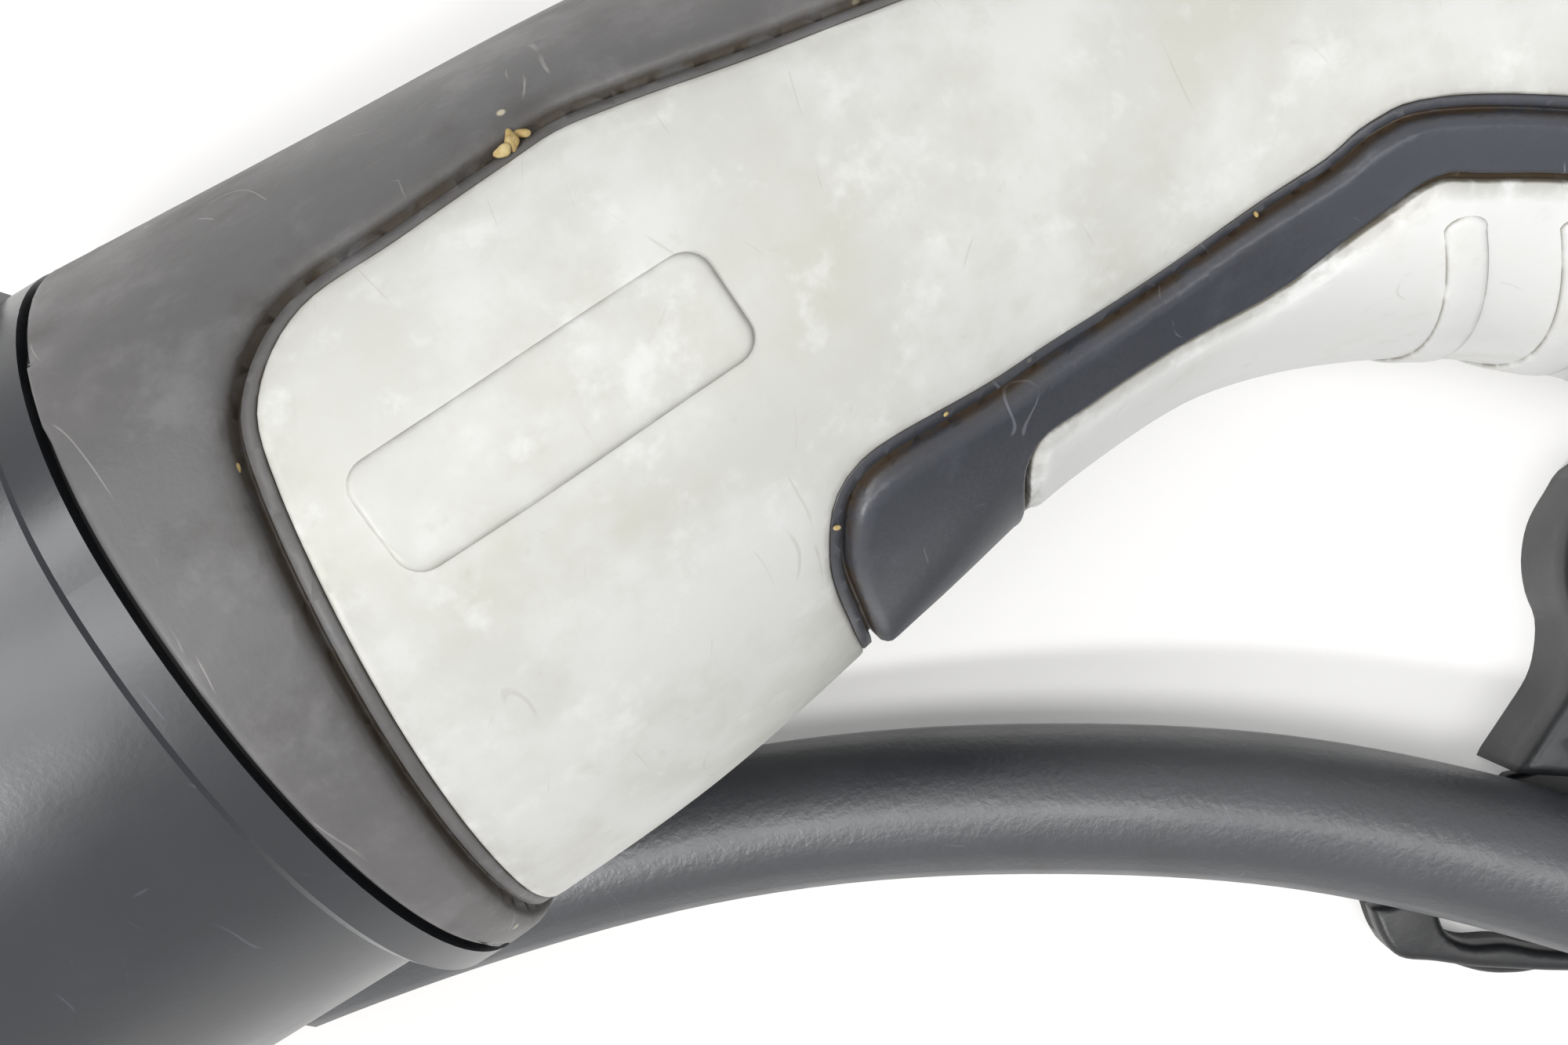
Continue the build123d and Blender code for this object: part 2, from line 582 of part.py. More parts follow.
for name, angle in slots.items():
    y, z = contacts[name]
    ring = PILOT_RING if name == "cp" else CORE_RING
    up, aside = ring * math.sin(math.radians(angle)), ring * math.cos(math.radians(angle))
    line = [Vector(p.X, p.Y, aside) for p in beside(bundle, up)]
    points = [Vector(conductor_start, y, z), Vector(FAN_FROM, y, z)] + line
    radii = [FAN_BEND, FAN_BEND]
    for a, b, c in zip(bundle, bundle[1:], bundle[2:]):
        left_turn = (b - a).cross(c - b).Z > 0
        radii.append(BEND - up if left_turn else BEND + up)
    path = FilletPolyline(*points, radius=radii)
    size = PILOT_CORE if name == "cp" else CORE
    parts["conductor_" + name] = sweep(Plane(origin=path @ 0, z_dir=path % 0) * Circle(size / 2), path=path)

# The coding resistor between the proximity contact and the earth contact
py, pz = contacts["pp"]
reach = math.hypot(py, pz)
share = ((CORE + BARREL) / 4) / reach
leg_end = (py * share, pz * share)
leg_path = FilletPolyline(
    (conductor_start, py, pz),
    (RESISTOR_AT, py, pz),
    (RESISTOR_AT, *leg_end),
    (barrel_back, *leg_end),
    radius=RESISTOR_BEND,
)
legs = sweep(Plane(origin=leg_path @ 0, z_dir=leg_path % 0) * Circle(RESISTOR_LEG / 2), path=leg_path)
middle = Vector(RESISTOR_AT, py * RESISTOR_SHARE, pz * RESISTOR_SHARE)
across = Vector(0, py, pz).normalized()
resistor_body = Plane(origin=middle - across * RESISTOR[1] / 2, x_dir=(1, 0, 0), z_dir=across) * Cylinder(
    RESISTOR[0] / 2, RESISTOR[1], align=ON_BASE
)
parts["coding_resistor"] = legs + resistor_body

# ---- cable entry -------------------------------------------------------------------------------------------
hole = CABLE + CABLE_FIT
cap_end = CAP_LENGTH
spigot = grip_body(-INSIDE - CAP_FIT) & (on_axis(-CAP_SPIGOT) * Box(REACH, REACH, 2 * CAP_SPIGOT))
end_radius = STATIONS[-1][5]
rear_radius = CAP_RADIUS - CAP_ROUND
swell = Spline(
    (end_radius, 0),
    (CAP_RADIUS - 0.6, 0.3 * cap_end),
    (CAP_RADIUS, 0.55 * cap_end),
    (CAP_RADIUS - 0.6, 0.8 * cap_end),
    (rear_radius, cap_end),
)
cap_profile = Line((0, 0), (end_radius, 0)) + swell + Polyline((rear_radius, cap_end), (0, cap_end), (0, 0))
cap = on_axis(0) * revolve(Plane.XZ * make_face(cap_profile), Axis.Z)
cap += spigot & (on_axis(-CAP_SPIGOT / 2) * Box(REACH, REACH, CAP_SPIGOT))
cap -= on_axis(-CAP_SPIGOT) * Cylinder(
    CAP_CHAMBER, CAP_SPIGOT + cap_end - CAP_FACE, align=ON_BASE
)
cap -= on_axis(0) * Cylinder(SLEEVE_NECK + NECK_FIT, 4 * cap_end)
parts["end_cap"] = cap

flange_from = cap_end - CAP_FACE - SLEEVE_FLANGE_HIGH
sleeve_end = cap_end + SLEEVE_LENGTH
taper_from = cap_end + SLEEVE_COLLAR
sleeve = ring_about_axis(
    [
        (hole / 2, flange_from),
        (SLEEVE_FLANGE, flange_from),
        (SLEEVE_FLANGE, flange_from + SLEEVE_FLANGE_HIGH),
        (SLEEVE_NECK, flange_from + SLEEVE_FLANGE_HIGH),
        (SLEEVE_NECK, cap_end),
        (SLEEVE_BODY, cap_end),
        (SLEEVE_BODY, taper_from),
        (SLEEVE_TIP, sleeve_end),
        (hole / 2, sleeve_end),
    ]
)
deep, wide = SLEEVE_GROOVE
for i in range(SLEEVE_GROOVES):
    at = cap_end + SLEEVE_GROOVE_FIRST + i * SLEEVE_GROOVE_PITCH
    share = (at + wide / 2 - taper_from) / (sleeve_end - taper_from)
    floor_radius = SLEEVE_BODY + (SLEEVE_TIP - SLEEVE_BODY) * share - deep
    out, end = 2 * SLEEVE_BODY, at + wide
    sleeve -= ring_about_axis([(floor_radius, at), (out, at), (out, end), (floor_radius, end)])
parts["bend_sleeve"] = sleeve

parts["gland_seal"] = ring_about_axis(
    [
        (hole / 2, flange_from - GLAND_SEAL),
        (GLAND_RADIUS, flange_from - GLAND_SEAL),
        (GLAND_RADIUS, flange_from),
        (hole / 2, flange_from),
    ]
)

sheath_length = sleeve_end - SHEATH_SHORT + SHEATH_INSIDE
parts["cable_sheath"] = on_axis(-SHEATH_INSIDE) * Cylinder(
    CABLE / 2, sheath_length, align=ON_BASE
)

clamp_middle = on_axis(-CLAMP_AT + CLAMP / 2)
clamp_block = grip_body(-INSIDE - CLAMP_CLEAR) & (clamp_middle * Box(REACH, REACH, CLAMP))
clamp_block -= clamp_middle * Cylinder(CABLE / 2, REACH)
clamp_screws = []
for name, up in (("cable_clamp_upper", 1), ("cable_clamp_lower", -1)):
    clamp = clamp_block & (clamp_middle * Pos(0, up * (REACH + CLAMP_GAP) / 2, 0) * Box(REACH, REACH, REACH))
    for aside in (-CLAMP_SCREW_OUT, CLAMP_SCREW_OUT):
        if up > 0:
            clamp -= clamp_bar(aside, SMALL_SCREW + SMALL_FIT, 0, CLAMP_SEAT)
            clamp -= clamp_bar(aside, small_across + HEAD_FIT, CLAMP_SEAT, REACH)
        else:
            clamp -= clamp_bar(aside, SMALL_SCREW, -CLAMP_SCREW_DEEP, 0)
    parts[name] = clamp
for aside in (-CLAMP_SCREW_OUT, CLAMP_SCREW_OUT):
    shank = clamp_bar(aside, SMALL_SCREW, -CLAMP_SCREW_DEEP, CLAMP_SEAT)
    clamp_screws.append(shank + clamp_bar(aside, small_across, CLAMP_SEAT, CLAMP_SEAT + small_high))
parts["clamp_screws"] = Compound(clamp_screws)

# ---- the connector on the floor ----------------------------------------------------------------------------
cap_middle = on_axis(0.55 * cap_end).origin
lean = math.degrees(math.asin((side0 - CAP_RADIUS) / cap_middle.X))
tilted = {name: Rot(0, lean, 0) * shape for name, shape in parts.items()}
whole = Compound(list(tilted.values())).bounding_box()
moved = Pos(-(whole.min.X + whole.max.X) / 2, -(whole.min.Y + whole.max.Y) / 2, -whole.min.Z)
floor = Pos(moved.position.X, moved.position.Y, 0)
print("lean", round(lean, 3), "shift", moved.position)


def on_floor(point):
    """A point of the connector's own frame, once it lies on the floor, before the sideways shift."""
    turned = (Rot(0, lean, 0) * Pos(*point)).position
    return Vector(turned.X, turned.Y, turned.Z + moved.position.Z)


# ---- the loose cable ---------------------------------------------------------------------------------------
ring_out = COIL_RADIUS + COIL_COLUMNS * CABLE / 2
coil = Cylinder(ring_out, COIL_LAYERS * CABLE, align=ON_BASE)
coil -= Cylinder(COIL_RADIUS - COIL_COLUMNS * CABLE / 2, REACH)
coil = Pos(*COIL_AT, 0) * fillet(coil.edges().filter_by(GeomType.CIRCLE), CABLE / 2 - 0.2)
cord_parts["cable_coil"] = coil

lead_start = on_floor(on_axis(sleeve_end - SHEATH_SHORT).origin)
lead_corner = on_floor(on_axis(LEAD_CORNER).origin)
lead_points = [lead_start, lead_corner] + [Vector(*p) for p in LEAD_ROUTE]
run_points = [Vector(*p) for p in RUN_ROUTE]
free_length = COIL_TURNS * 2 * math.pi * COIL_RADIUS
for name, points in (("cable_lead", lead_points), ("cable_run", run_points)):
    radii = bend_radii(points)
    print(name, "radii", [round(r, 1) for r in radii])
    free_length += FilletPolyline(*points, radius=radii).length
    cord_parts[name] = tube_along(points, radii, CABLE) - coil
print("lead from", lead_start, "over", lead_corner, "free cable", round(free_length))

# The conductors at the open end, fanned out level, each with its ferrule
end, before = run_points[-1], run_points[-2]
ahead = Vector(end.X - before.X, end.Y - before.Y, 0).normalized()
left = Vector(-ahead.Y, ahead.X, 0)
ferrules = []
ferrule_across, ferrule_long = FERRULE
splay = {"pe": 0, "l1": 16, "n": -16, "l2": 8, "l3": -8, "cp": 9}  # degrees
for name, angle in slots.items():
    ring = PILOT_RING if name == "cp" else CORE_RING
    up, aside = ring * math.sin(math.radians(angle)), ring * math.cos(math.radians(angle))
    start = end + left * aside + Vector(0, 0, up)
    turn = math.radians(splay[name])
    towards = ahead * math.cos(turn) + left * math.sin(turn)
    knee = start + ahead * SPLAY_FROM
    tip = knee + towards * (BARE_CORES - SPLAY_FROM)
    size = PILOT_CORE if name == "cp" else CORE
    if splay[name]:
        path = FilletPolyline(start, knee, tip, radius=SPLAY_BEND)
    else:
        path = Line(start, tip)
    first_section = Plane(origin=path @ 0, z_dir=path % 0) * Circle(size / 2)
    cord_parts["open_core_" + name] = sweep(first_section, path=path)
    across = PILOT_FERRULE if name == "cp" else ferrule_across
    ferrule = Cylinder(across / 2, ferrule_long, align=ON_BASE)
    ferrules.append(Plane(origin=path @ 1, z_dir=path % 1) * ferrule)
cord_parts["ferrules"] = Compound(ferrules)

# Rubber strap: a thin base under the cable, with a thick scalloped lobe on one side and a hook on the other
web = extrude(make_face(Polyline(*WEB, close=True)), STRAP_BASE)
lobe = extrude(make_face(Spline(*LOBE, LOBE[0])), STRAP_HIGH)
hook_sides = Spline(*HOOK_OUTER) + Line(HOOK_OUTER[-1], HOOK_INNER[0]) + Spline(*HOOK_INNER)
hook = extrude(make_face(hook_sides + Line(HOOK_INNER[-1], HOOK_OUTER[0])), HOOK_HIGH)
cord_parts["cable_strap"] = web + lobe + hook

# ---- export ------------------------------------------------------------------------------------------------
for name, shape in tilted.items():
    export_step(moved * shape, f"parts/{name}.step")
for name, shape in cord_parts.items():
    export_step(floor * shape, f"parts/{name}.step")
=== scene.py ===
"""Dresses a hand-held electric vehicle charging connector that lies on its flank beside its own cable.

The connector's shapes are given in its own frame, in millimetres: X runs along the nose axis from the mating
face to the cable, Y points to the flat-topped upper side and Z to the left flank. Everything is then turned
and moved to where the connector lies on the floor, in metres.
"""

import logging
import math
from dataclasses import astuple, dataclass
from enum import Enum
from typing import Optional, Sequence

import bmesh
import bpy
from mathutils import Matrix, Vector
from mathutils.kdtree import KDTree


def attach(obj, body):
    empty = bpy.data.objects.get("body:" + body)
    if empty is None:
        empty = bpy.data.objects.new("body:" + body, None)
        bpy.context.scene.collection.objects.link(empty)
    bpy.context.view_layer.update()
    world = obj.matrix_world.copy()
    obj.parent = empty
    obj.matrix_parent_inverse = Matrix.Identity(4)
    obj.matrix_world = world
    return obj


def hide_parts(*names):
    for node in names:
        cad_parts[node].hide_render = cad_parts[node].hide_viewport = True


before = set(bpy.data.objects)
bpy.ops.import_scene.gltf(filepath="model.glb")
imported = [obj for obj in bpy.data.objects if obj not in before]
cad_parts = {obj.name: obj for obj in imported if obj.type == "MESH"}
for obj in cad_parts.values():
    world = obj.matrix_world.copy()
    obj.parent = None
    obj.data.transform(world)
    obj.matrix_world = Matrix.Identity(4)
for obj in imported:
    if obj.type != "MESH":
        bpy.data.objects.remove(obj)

log = logging.getLogger("charging_connector")
Point2 = tuple[float, float]
Point3 = tuple[float, float, float]
Outline = Sequence[Point2]
Mesh = bmesh.types.BMesh
Edge = bmesh.types.BMEdge
Tree = bpy.types.NodeTree
Socket = bpy.types.NodeSocket

MM = 0.001
BODY = "root"
CABLE = 12.4  # diameter of the jacket, mm


# ---- where the connector lies
@dataclass(frozen=True)
class Lie:
    """How the connector lies on the floor: leaning by some degrees, so that flange and end cap both touch."""

    lean: float = 3.79
    shift: Point3 = (-66.5565, 50.5282, 30.5432)  # mm

    def matrix(self) -> Matrix:
        """The transform from the connector's own frame in millimetres to the scene in metres."""
        turn = Matrix.Rotation(math.radians(self.lean), 4, "Y")
        return Matrix.Scale(MM, 4) @ Matrix.Translation(self.shift) @ turn

    def floor_point(self, point: Sequence[float]) -> Vector:
        """A point of the cable's route, given over the floor in millimetres, in the scene's metres."""
        return Vector((point[0] + self.shift[0], point[1] + self.shift[1], point[2])) * MM


LIE = Lie()


# ---- the curved housing
@dataclass(frozen=True)
class Station:
    """One section of the housing: middle, slope in degrees, and semi-axes up, down and to the side."""

    x: float
    y: float
    slope: float
    up: float
    down: float
    side: float


STATIONS = tuple(Station(*row) for row in (
    (0.0, 0.0, 0.0, 23.2, 30.55, 30.55),
    (18.0, 0.0, 0.0, 22.2, 29.4, 29.3),
    (37.0, 0.0, -1.0, 21.3, 26.1, 26.8),
    (53.1, -1.4, -8.0, 20.6, 22.4, 24.0),
    (69.2, -5.2, -22.0, 20.6, 20.0, 21.8),
    (86.2, -13.6, -37.0, 20.4, 19.2, 20.6),
    (97.8, -23.5, -45.0, 20.0, 18.8, 20.0),
    (109.5, -36.5, -50.0, 19.6, 18.8, 19.6),
    (120.5, -50.5, -53.0, 19.2, 18.8, 19.2),
    (131.0, -65.0, -54.5, 18.8, 18.6, 18.8),
    (141.0, -79.3, -55.0, 18.4, 18.4, 18.4),
))


class Housing:
    """The smooth surface that all the outer mouldings share.

    A place on it is a distance along the grip and an angle round it: 0 is the left flank, 90 the upper side,
    180 the right flank and -90 the belly. Flat patterns are drawn with the distance along X and the angle,
    in radians times a fixed radius, along Y.
    """

    pattern_radius = 24.0
    rounds = 40  # of a search for a place
    pace = 0.7  # share of the way to the place that each round takes

    def __init__(self, stations: Sequence[Station]) -> None:
        """Sets up the sections.

        Args:
            stations: the sections from the nose to the cable end.
        """
        self.rows = [astuple(s) for s in stations]
        self.along = [0.0]
        for a, b in zip(self.rows, self.rows[1:]):
            self.along.append(self.along[-1] + math.dist(a[:2], b[:2]))
        self.length = self.along[-1]
        self.slopes = [self._slope(i) for i in range(len(self.rows))]

    def _slope(self, i: int) -> list[float]:
        """Works out how fast the numbers change at one station, for a smooth curve through them all.

        Args:
            i: which station.

        Returns:
            The change of each number per millimetre.
        """
        lo, hi = max(i - 1, 0), min(i + 1, len(self.rows) - 1)
        span = self.along[hi] - self.along[lo]
        return [(b - a) / span for a, b in zip(self.rows[lo], self.rows[hi])]

    def section(self, s: float) -> list[float]:
        """Reads the section at any place. Beyond the ends the grip goes on straight.

        Args:
            s: distance along the grip, mm.

        Returns:
            The same six numbers as in a station.
        """
        s_in = min(max(s, 0.0), self.length)
        i = next((k for k in range(len(self.along) - 1) if s_in <= self.along[k + 1]), len(self.along) - 2)
        span = self.along[i + 1] - self.along[i]
        t = (s_in - self.along[i]) / span
        h = (2 * t**3 - 3 * t**2 + 1, (t**3 - 2 * t**2 + t) * span, 3 * t**2 - 2 * t**3, (t**3 - t**2) * span)
        values = [
            h[0] * a + h[1] * da + h[2] * b + h[3] * db
            for a, da, b, db in zip(self.rows[i], self.slopes[i], self.rows[i + 1], self.slopes[i + 1])
        ]
        beyond = s - s_in
        if beyond:
            slope = math.radians(values[2])
            values[0] += beyond * math.cos(slope)
            values[1] += beyond * math.sin(slope)
        return values

    def point(self, s: float, angle: float, off: float) -> Vector:
        """Finds a point of the housing.

        Args:
            s: distance along the grip, mm.
            angle: angle round it, radians.
            off: height over the smooth surface, mm.

        Returns:
            The point in the connector's own frame.
        """
        x, y, slope, up, down, side = self.section(s)
        slope = math.radians(slope)
        height = ((up if math.sin(angle) >= 0 else down) + off) * math.sin(angle)
        across = (side + off) * math.cos(angle)
        return Vector((x - math.sin(slope) * height, y + math.cos(slope) * height, across))

    def pattern_point(self, flat: Sequence[float]) -> Vector:
        """A point of a flat pattern, laid on the housing. The third number is the height over the surface."""
        return self.point(flat[0], flat[1] / self.pattern_radius, flat[2])

    def place(self, x: float, y: float) -> Point2:
        """Finds where a point of the left side view lies in the flat pattern.

        Args:
            x: along the nose axis, mm.
            y: towards the upper side, mm.

        Returns:
            The point of the pattern.
        """
        s = min(max(x, 0.0), self.length)
        for _ in range(self.rounds):
            cx, cy, slope = self.section(s)[:3]
            slope = math.radians(slope)
            s += self.pace * ((x - cx) * math.cos(slope) + (y - cy) * math.sin(slope))
        cx, cy, slope, up, down = self.section(s)[:5]
        slope = math.radians(slope)
        height = -(x - cx) * math.sin(slope) + (y - cy) * math.cos(slope)
        share = height / (up if height >= 0 else down)
        return s, math.asin(min(max(share, -1.0), 1.0)) * self.pattern_radius

    def flat(self, angle: float) -> float:
        """Place of an angle, in degrees, across the flat pattern."""
        return math.radians(angle) * self.pattern_radius


HOUSING = Housing(STATIONS)

# Upper edge of the left side shell in the side view, from the belly to the start of the grip
PANEL_EDGE: list[Point2] = [
    (4.3, -30.4), (4.7, -29.0), (5.6, -25.0), (7.2, -14.5), (9.2, -1.0), (10.7, 4.2), (14.8, 7.6),
    (21.0, 8.3), (28.1, 9.1), (31.2, 9.4), (34.8, 8.9), (42.5, 7.4), (50.0, 6.3),
]
# Upper edge of the grip band, from the belly
BAND_EDGE: list[Point2] = [
    (31.0, -27.3), (31.0, -24.5), (32.0, -19.6), (36.2, -15.8), (46.8, -15.8), (58.0, -15.5), (67.6, -14.9),
    (71.9, -14.3), (76.3, -15.2),
]
# Upper edge of the pale inlay, from the belly, and its rounded rear end
INLAY_EDGE: list[Point2] = [
    (45.4, -24.6), (45.4, -23.5), (46.3, -20.6), (51.0, -20.0), (62.5, -20.1), (70.4, -19.5), (74.2, -19.3),
    (77.4, -21.0),
]
INLAY_REAR: list[Point2] = [(116.4, -63.0), (117.4, -66.6), (115.6, -69.8)]
# Angles along the grip of the rail's lower edge and the upper edges of band and inlay, and two places where
# each edge has reached its angle
RAIL_ANGLE, BAND_ANGLE, INLAY_ANGLE = 20.0, -20.0, -35.0
RAIL_RUN, BAND_RUN, INLAY_RUN = (78.0, 110.0), (96.0, 120.0), (100.0, 118.0)
# The raised field: its middle, length and width, slope in degrees and corner radius
FIELD_AT, FIELD_SIZE, FIELD_SLOPE, FIELD_CORNER = (23.4, -4.6), (22.4, 6.9), 3.0, 1.6
# The ribs: where the first one starts along the nose axis, their spacing, width and number
RIB_FIRST, RIB_PITCH, RIB_WIDTH, RIBS = 74.0, 6.3, 2.4, 7
SAMPLING = 0.15  # spacing of the points that stand for an outline where distances to it are measured, mm
SLACK, SLACK_SHARE = 0.01, 0.03  # how much nearer to the outline than asked a moved point may lie
BORDER_STEP = 2.0  # spacing of points along straight borders, mm


# ---- drawing helpers
def curve_through(points: Outline, step: float = 1.0, closed: bool = False) -> list[Point2]:
    """Draws a smooth curve that passes through points.

    Args:
        points: the points to pass, in order.
        step: distance between the curve's points, mm.
        closed: True where the last point runs on to the first.

    Returns:
        The curve's points.
    """
    out: list[Point2] = []
    padded = [points[-1], *points, *points[:2]] if closed else [points[0], *points, points[-1]]
    for p0, p1, p2, p3 in zip(padded, padded[1:], padded[2:], padded[3:]):
        count = max(1, round(math.dist(p1, p2) / step))
        for k in range(count):
            t = k / count
            out.append(tuple(
                0.5 * (2 * b + (c - a) * t + (2 * a - 5 * b + 4 * c - d) * t * t
                       + (3 * b - a - 3 * c + d) * t**3)
                for a, b, c, d in zip(p0, p1, p2, p3)
            ))
    return out if closed else [*out, tuple(points[-1])]


def straight(a: Point2, b: Point2, step: float = 1.5) -> list[Point2]:
    """Evenly spaced points from a to b, both included."""
    count = max(1, round(math.dist(a, b) / step))
    return [(a[0] + (b[0] - a[0]) * k / count, a[1] + (b[1] - a[1]) * k / count) for k in range(count + 1)]


def run_on(line: list[Point2], *corners: Point2) -> list[Point2]:
    """A line that is carried on straight from corner to corner."""
    for corner in corners:
        line = line + straight(line[-1], corner, BORDER_STEP)[1:]
    return line


def moved_sideways(points: Outline, by: float) -> list[Point2]:
    """Moves a closed outline square to itself.

    Args:
        points: the outline.
        by: the distance to its right as it runs, mm.

    Returns:
        The moved points.
    """
    out = []
    for i, (x, y) in enumerate(points):
        a, b = points[i - 1], points[(i + 1) % len(points)]
        dx, dy = b[0] - a[0], b[1] - a[1]
        size = math.hypot(dx, dy) or 1.0
        out.append((x + by * dy / size, y - by * dx / size))
    return out


def moved_inwards(points: Outline, by: float) -> list[Point2]:
    """Shrinks a closed outline all round and leaves out the points that would cross over.

    Args:
        points: the outline.
        by: the distance, mm.

    Returns:
        The smaller outline.
    """
    sides = list(zip(points, [*points[1:], points[0]]))
    area = sum(a[0] * b[1] - b[0] * a[1] for a, b in sides)
    dense = [q for a, b in sides for q in straight(a, b, SAMPLING)]
    tree = KDTree(len(dense))
    for i, (x, y) in enumerate(dense):
        tree.insert((x, y, 0.0), i)
    tree.balance()
    moved = moved_sideways(points, -by if area > 0 else by)
    least = by - SLACK - SLACK_SHARE * by
    return without_repeats([p for p in moved if tree.find((*p, 0.0))[2] > least], SAMPLING)


def without_repeats(points: Outline, least: float = 0.25) -> list[Point2]:
    """Drops the points of a closed outline that fall together.

    Args:
        points: the outline.
        least: the distance that points keep, mm.

    Returns:
        The points that stay.
    """
    out: list[Point2] = []
    for p in points:
        if not out or math.dist(out[-1], p) > least:
            out.append(p)
    while math.dist(out[0], out[-1]) <= least:
        out.pop()
    return out


def mirrored(points: Outline, below: bool = False) -> list[Point2]:
    """The same points on the right flank, counted by way of the upper side or, below, of the belly."""
    turn = -math.pi if below else math.pi
    return [(s, turn * Housing.pattern_radius - t) for s, t in points]


def placed(points: Outline) -> list[Point2]:
    """Side view points in the flat pattern."""
    return [HOUSING.place(*p) for p in points]


def at_angle(angle: float, *places: float) -> list[Point2]:
    """Pattern points at one angle, in degrees, and at some distances along the grip."""
    return [(s, HOUSING.flat(angle)) for s in places]


# ---- turning meshes into pieces
WELD = 0.01  # vertices nearer than this become one, mm
ON_CUT = 1e-4  # vertices nearer than this to a cut lie on it, mm
OFF_POINTS = 0.013  # share of a cell by which the cuts keep off the outline's own points
WALL_FOOT = -1.2  # height under which the edges of a cut stay sharp, mm


def added(name: str, data: bpy.types.ID) -> bpy.types.Object:
    """A new object of the scene."""
    made = bpy.data.objects.new(name, data)
    bpy.context.scene.collection.objects.link(made)
    return made


def finished_piece(name: str, mesh: Mesh, material: bpy.types.Material,
                   nodes: Sequence[str] = (), placing: Optional[Matrix] = None) -> None:
    """Makes a mesh an object of the scene that rides with the connector.

    Args:
        name: the piece's name.
        mesh: its shape, in the connector's frame unless placing says otherwise.
        material: its finish.
        nodes: the CAD nodes that it stands for.
        placing: transform into the scene.
    """
    mesh.transform(LIE.matrix() if placing is None else placing)
    data = bpy.data.meshes.new(name)
    mesh.to_mesh(data)
    mesh.free()
    data.shade_smooth()
    piece = added(name, data)
    data.materials.append(material)
    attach(piece, BODY)
    if nodes:
        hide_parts(*nodes)
    log.info("%s: %d faces", name, len(data.polygons))


def filled(bm: Mesh, edges: Sequence[Edge]) -> list[bmesh.types.BMFace]:
    """The faces that close a loop of edges, or the gap between two."""
    made = bmesh.ops.triangle_fill(bm, use_beauty=True, edges=edges)["geom"]
    return [f for f in made if isinstance(f, bmesh.types.BMFace)]


def cut(bm: Mesh, at: Vector, away: Vector, clear: bool = False) -> list[Edge]:
    """Cuts a mesh along a plane.

    Args:
        bm: the mesh.
        at: a point of the plane.
        away: the plane's direction.
        clear: True where everything on that side falls off.

    Returns:
        The edges on the cut.
    """
    made = bmesh.ops.bisect_plane(bm, geom=[*bm.verts, *bm.edges, *bm.faces], plane_co=at, plane_no=away,
                                  dist=ON_CUT, clear_outer=clear)
    return [e for e in made["geom_cut"] if isinstance(e, Edge)]


@dataclass(frozen=True)
class Step:
    """One step of an edge: how far inwards it goes, the height it reaches and how much dirt it holds."""

    inwards: float
    height: float
    dirt: float = 0.0


@dataclass(frozen=True)
class Skin:
    """A closed moulded sheet inside an outline of a flat pattern, with a shaped edge and perhaps a pocket."""

    outline: Outline
    edge: Sequence[Step]
    start_height: float
    grid: float = 2.4
    pocket: Outline = ()
    pocket_edge: Sequence[Step] = ()

    def mesh(self) -> Mesh:
        """Builds the sheet.

        Returns:
            The sheet in the flat pattern, with a dirt value on each vertex.
        """
        bm = bmesh.new()
        bm.verts.layers.float.new("dirt")
        bottom, top = self._stepped(bm, self.outline, self.start_height, self.edge)
        filled(bm, bottom)
        if self.pocket:
            rim, floor = self._stepped(bm, self.pocket, self.edge[-1].height, self.pocket_edge)
            filled(bm, floor)
            top = top + rim
        filled(bm, top)
        self._cut_grid(bm)
        bmesh.ops.remove_doubles(bm, verts=bm.verts, dist=WELD)
        return bm

    def _loop(self, bm: Mesh, points: Outline, step: Step) -> list[Edge]:
        """Adds a closed loop of edges.

        Args:
            bm: the mesh to build in.
            points: the loop's points.
            step: the height and dirt of all of them.

        Returns:
            The loop's edges.
        """
        dirt = bm.verts.layers.float["dirt"]
        verts = [bm.verts.new((s, t, step.height)) for s, t in points]
        for v in verts:
            v[dirt] = step.dirt
        return [bm.edges.new(pair) for pair in zip(verts, verts[1:] + verts[:1])]

    def _stepped(self, bm: Mesh, outline: Outline, height: float,
                 edge: Sequence[Step]) -> tuple[list[Edge], list[Edge]]:
        """Builds the steps of an edge inwards from an outline.

        Args:
            bm: the mesh to build in.
            outline: the outline.
            height: where the first loop lies.
            edge: the steps.

        Returns:
            The edges of the first and of the last loop.
        """
        dirt = bm.verts.layers.float["dirt"]
        outline = without_repeats(outline)
        first = last = self._loop(bm, outline, Step(0.0, height, edge[0].dirt))
        total = 0.0
        for step in edge:
            if step.inwards:
                total += step.inwards
                inner = self._loop(bm, moved_inwards(outline, total), step)
                filled(bm, last + inner)
            else:
                made = bmesh.ops.extrude_edge_only(bm, edges=last)["geom"]
                raised = {v for v in made if isinstance(v, bmesh.types.BMVert)}
                for v in raised:
                    v.co.z = step.height
                    v[dirt] = step.dirt
                inner = [e for e in made if isinstance(e, Edge) and raised.issuperset(e.verts)]
            last = inner
        return first, last

    def _cut_grid(self, bm: Mesh) -> None:
        """Cuts the sheet along and across, so that it can follow the housing.

        Args:
            bm: the sheet's mesh.
        """
        for axis in (Vector((1, 0, 0)), Vector((0, 1, 0))):
            values = [v.co.dot(axis) for v in bm.verts]
            low, high = min(values), max(values)
            count = math.ceil((high - low) / self.grid)
            for k in range(1, count):
                cut(bm, axis * (low + (high - low) * (k + OFF_POINTS) / count), axis)


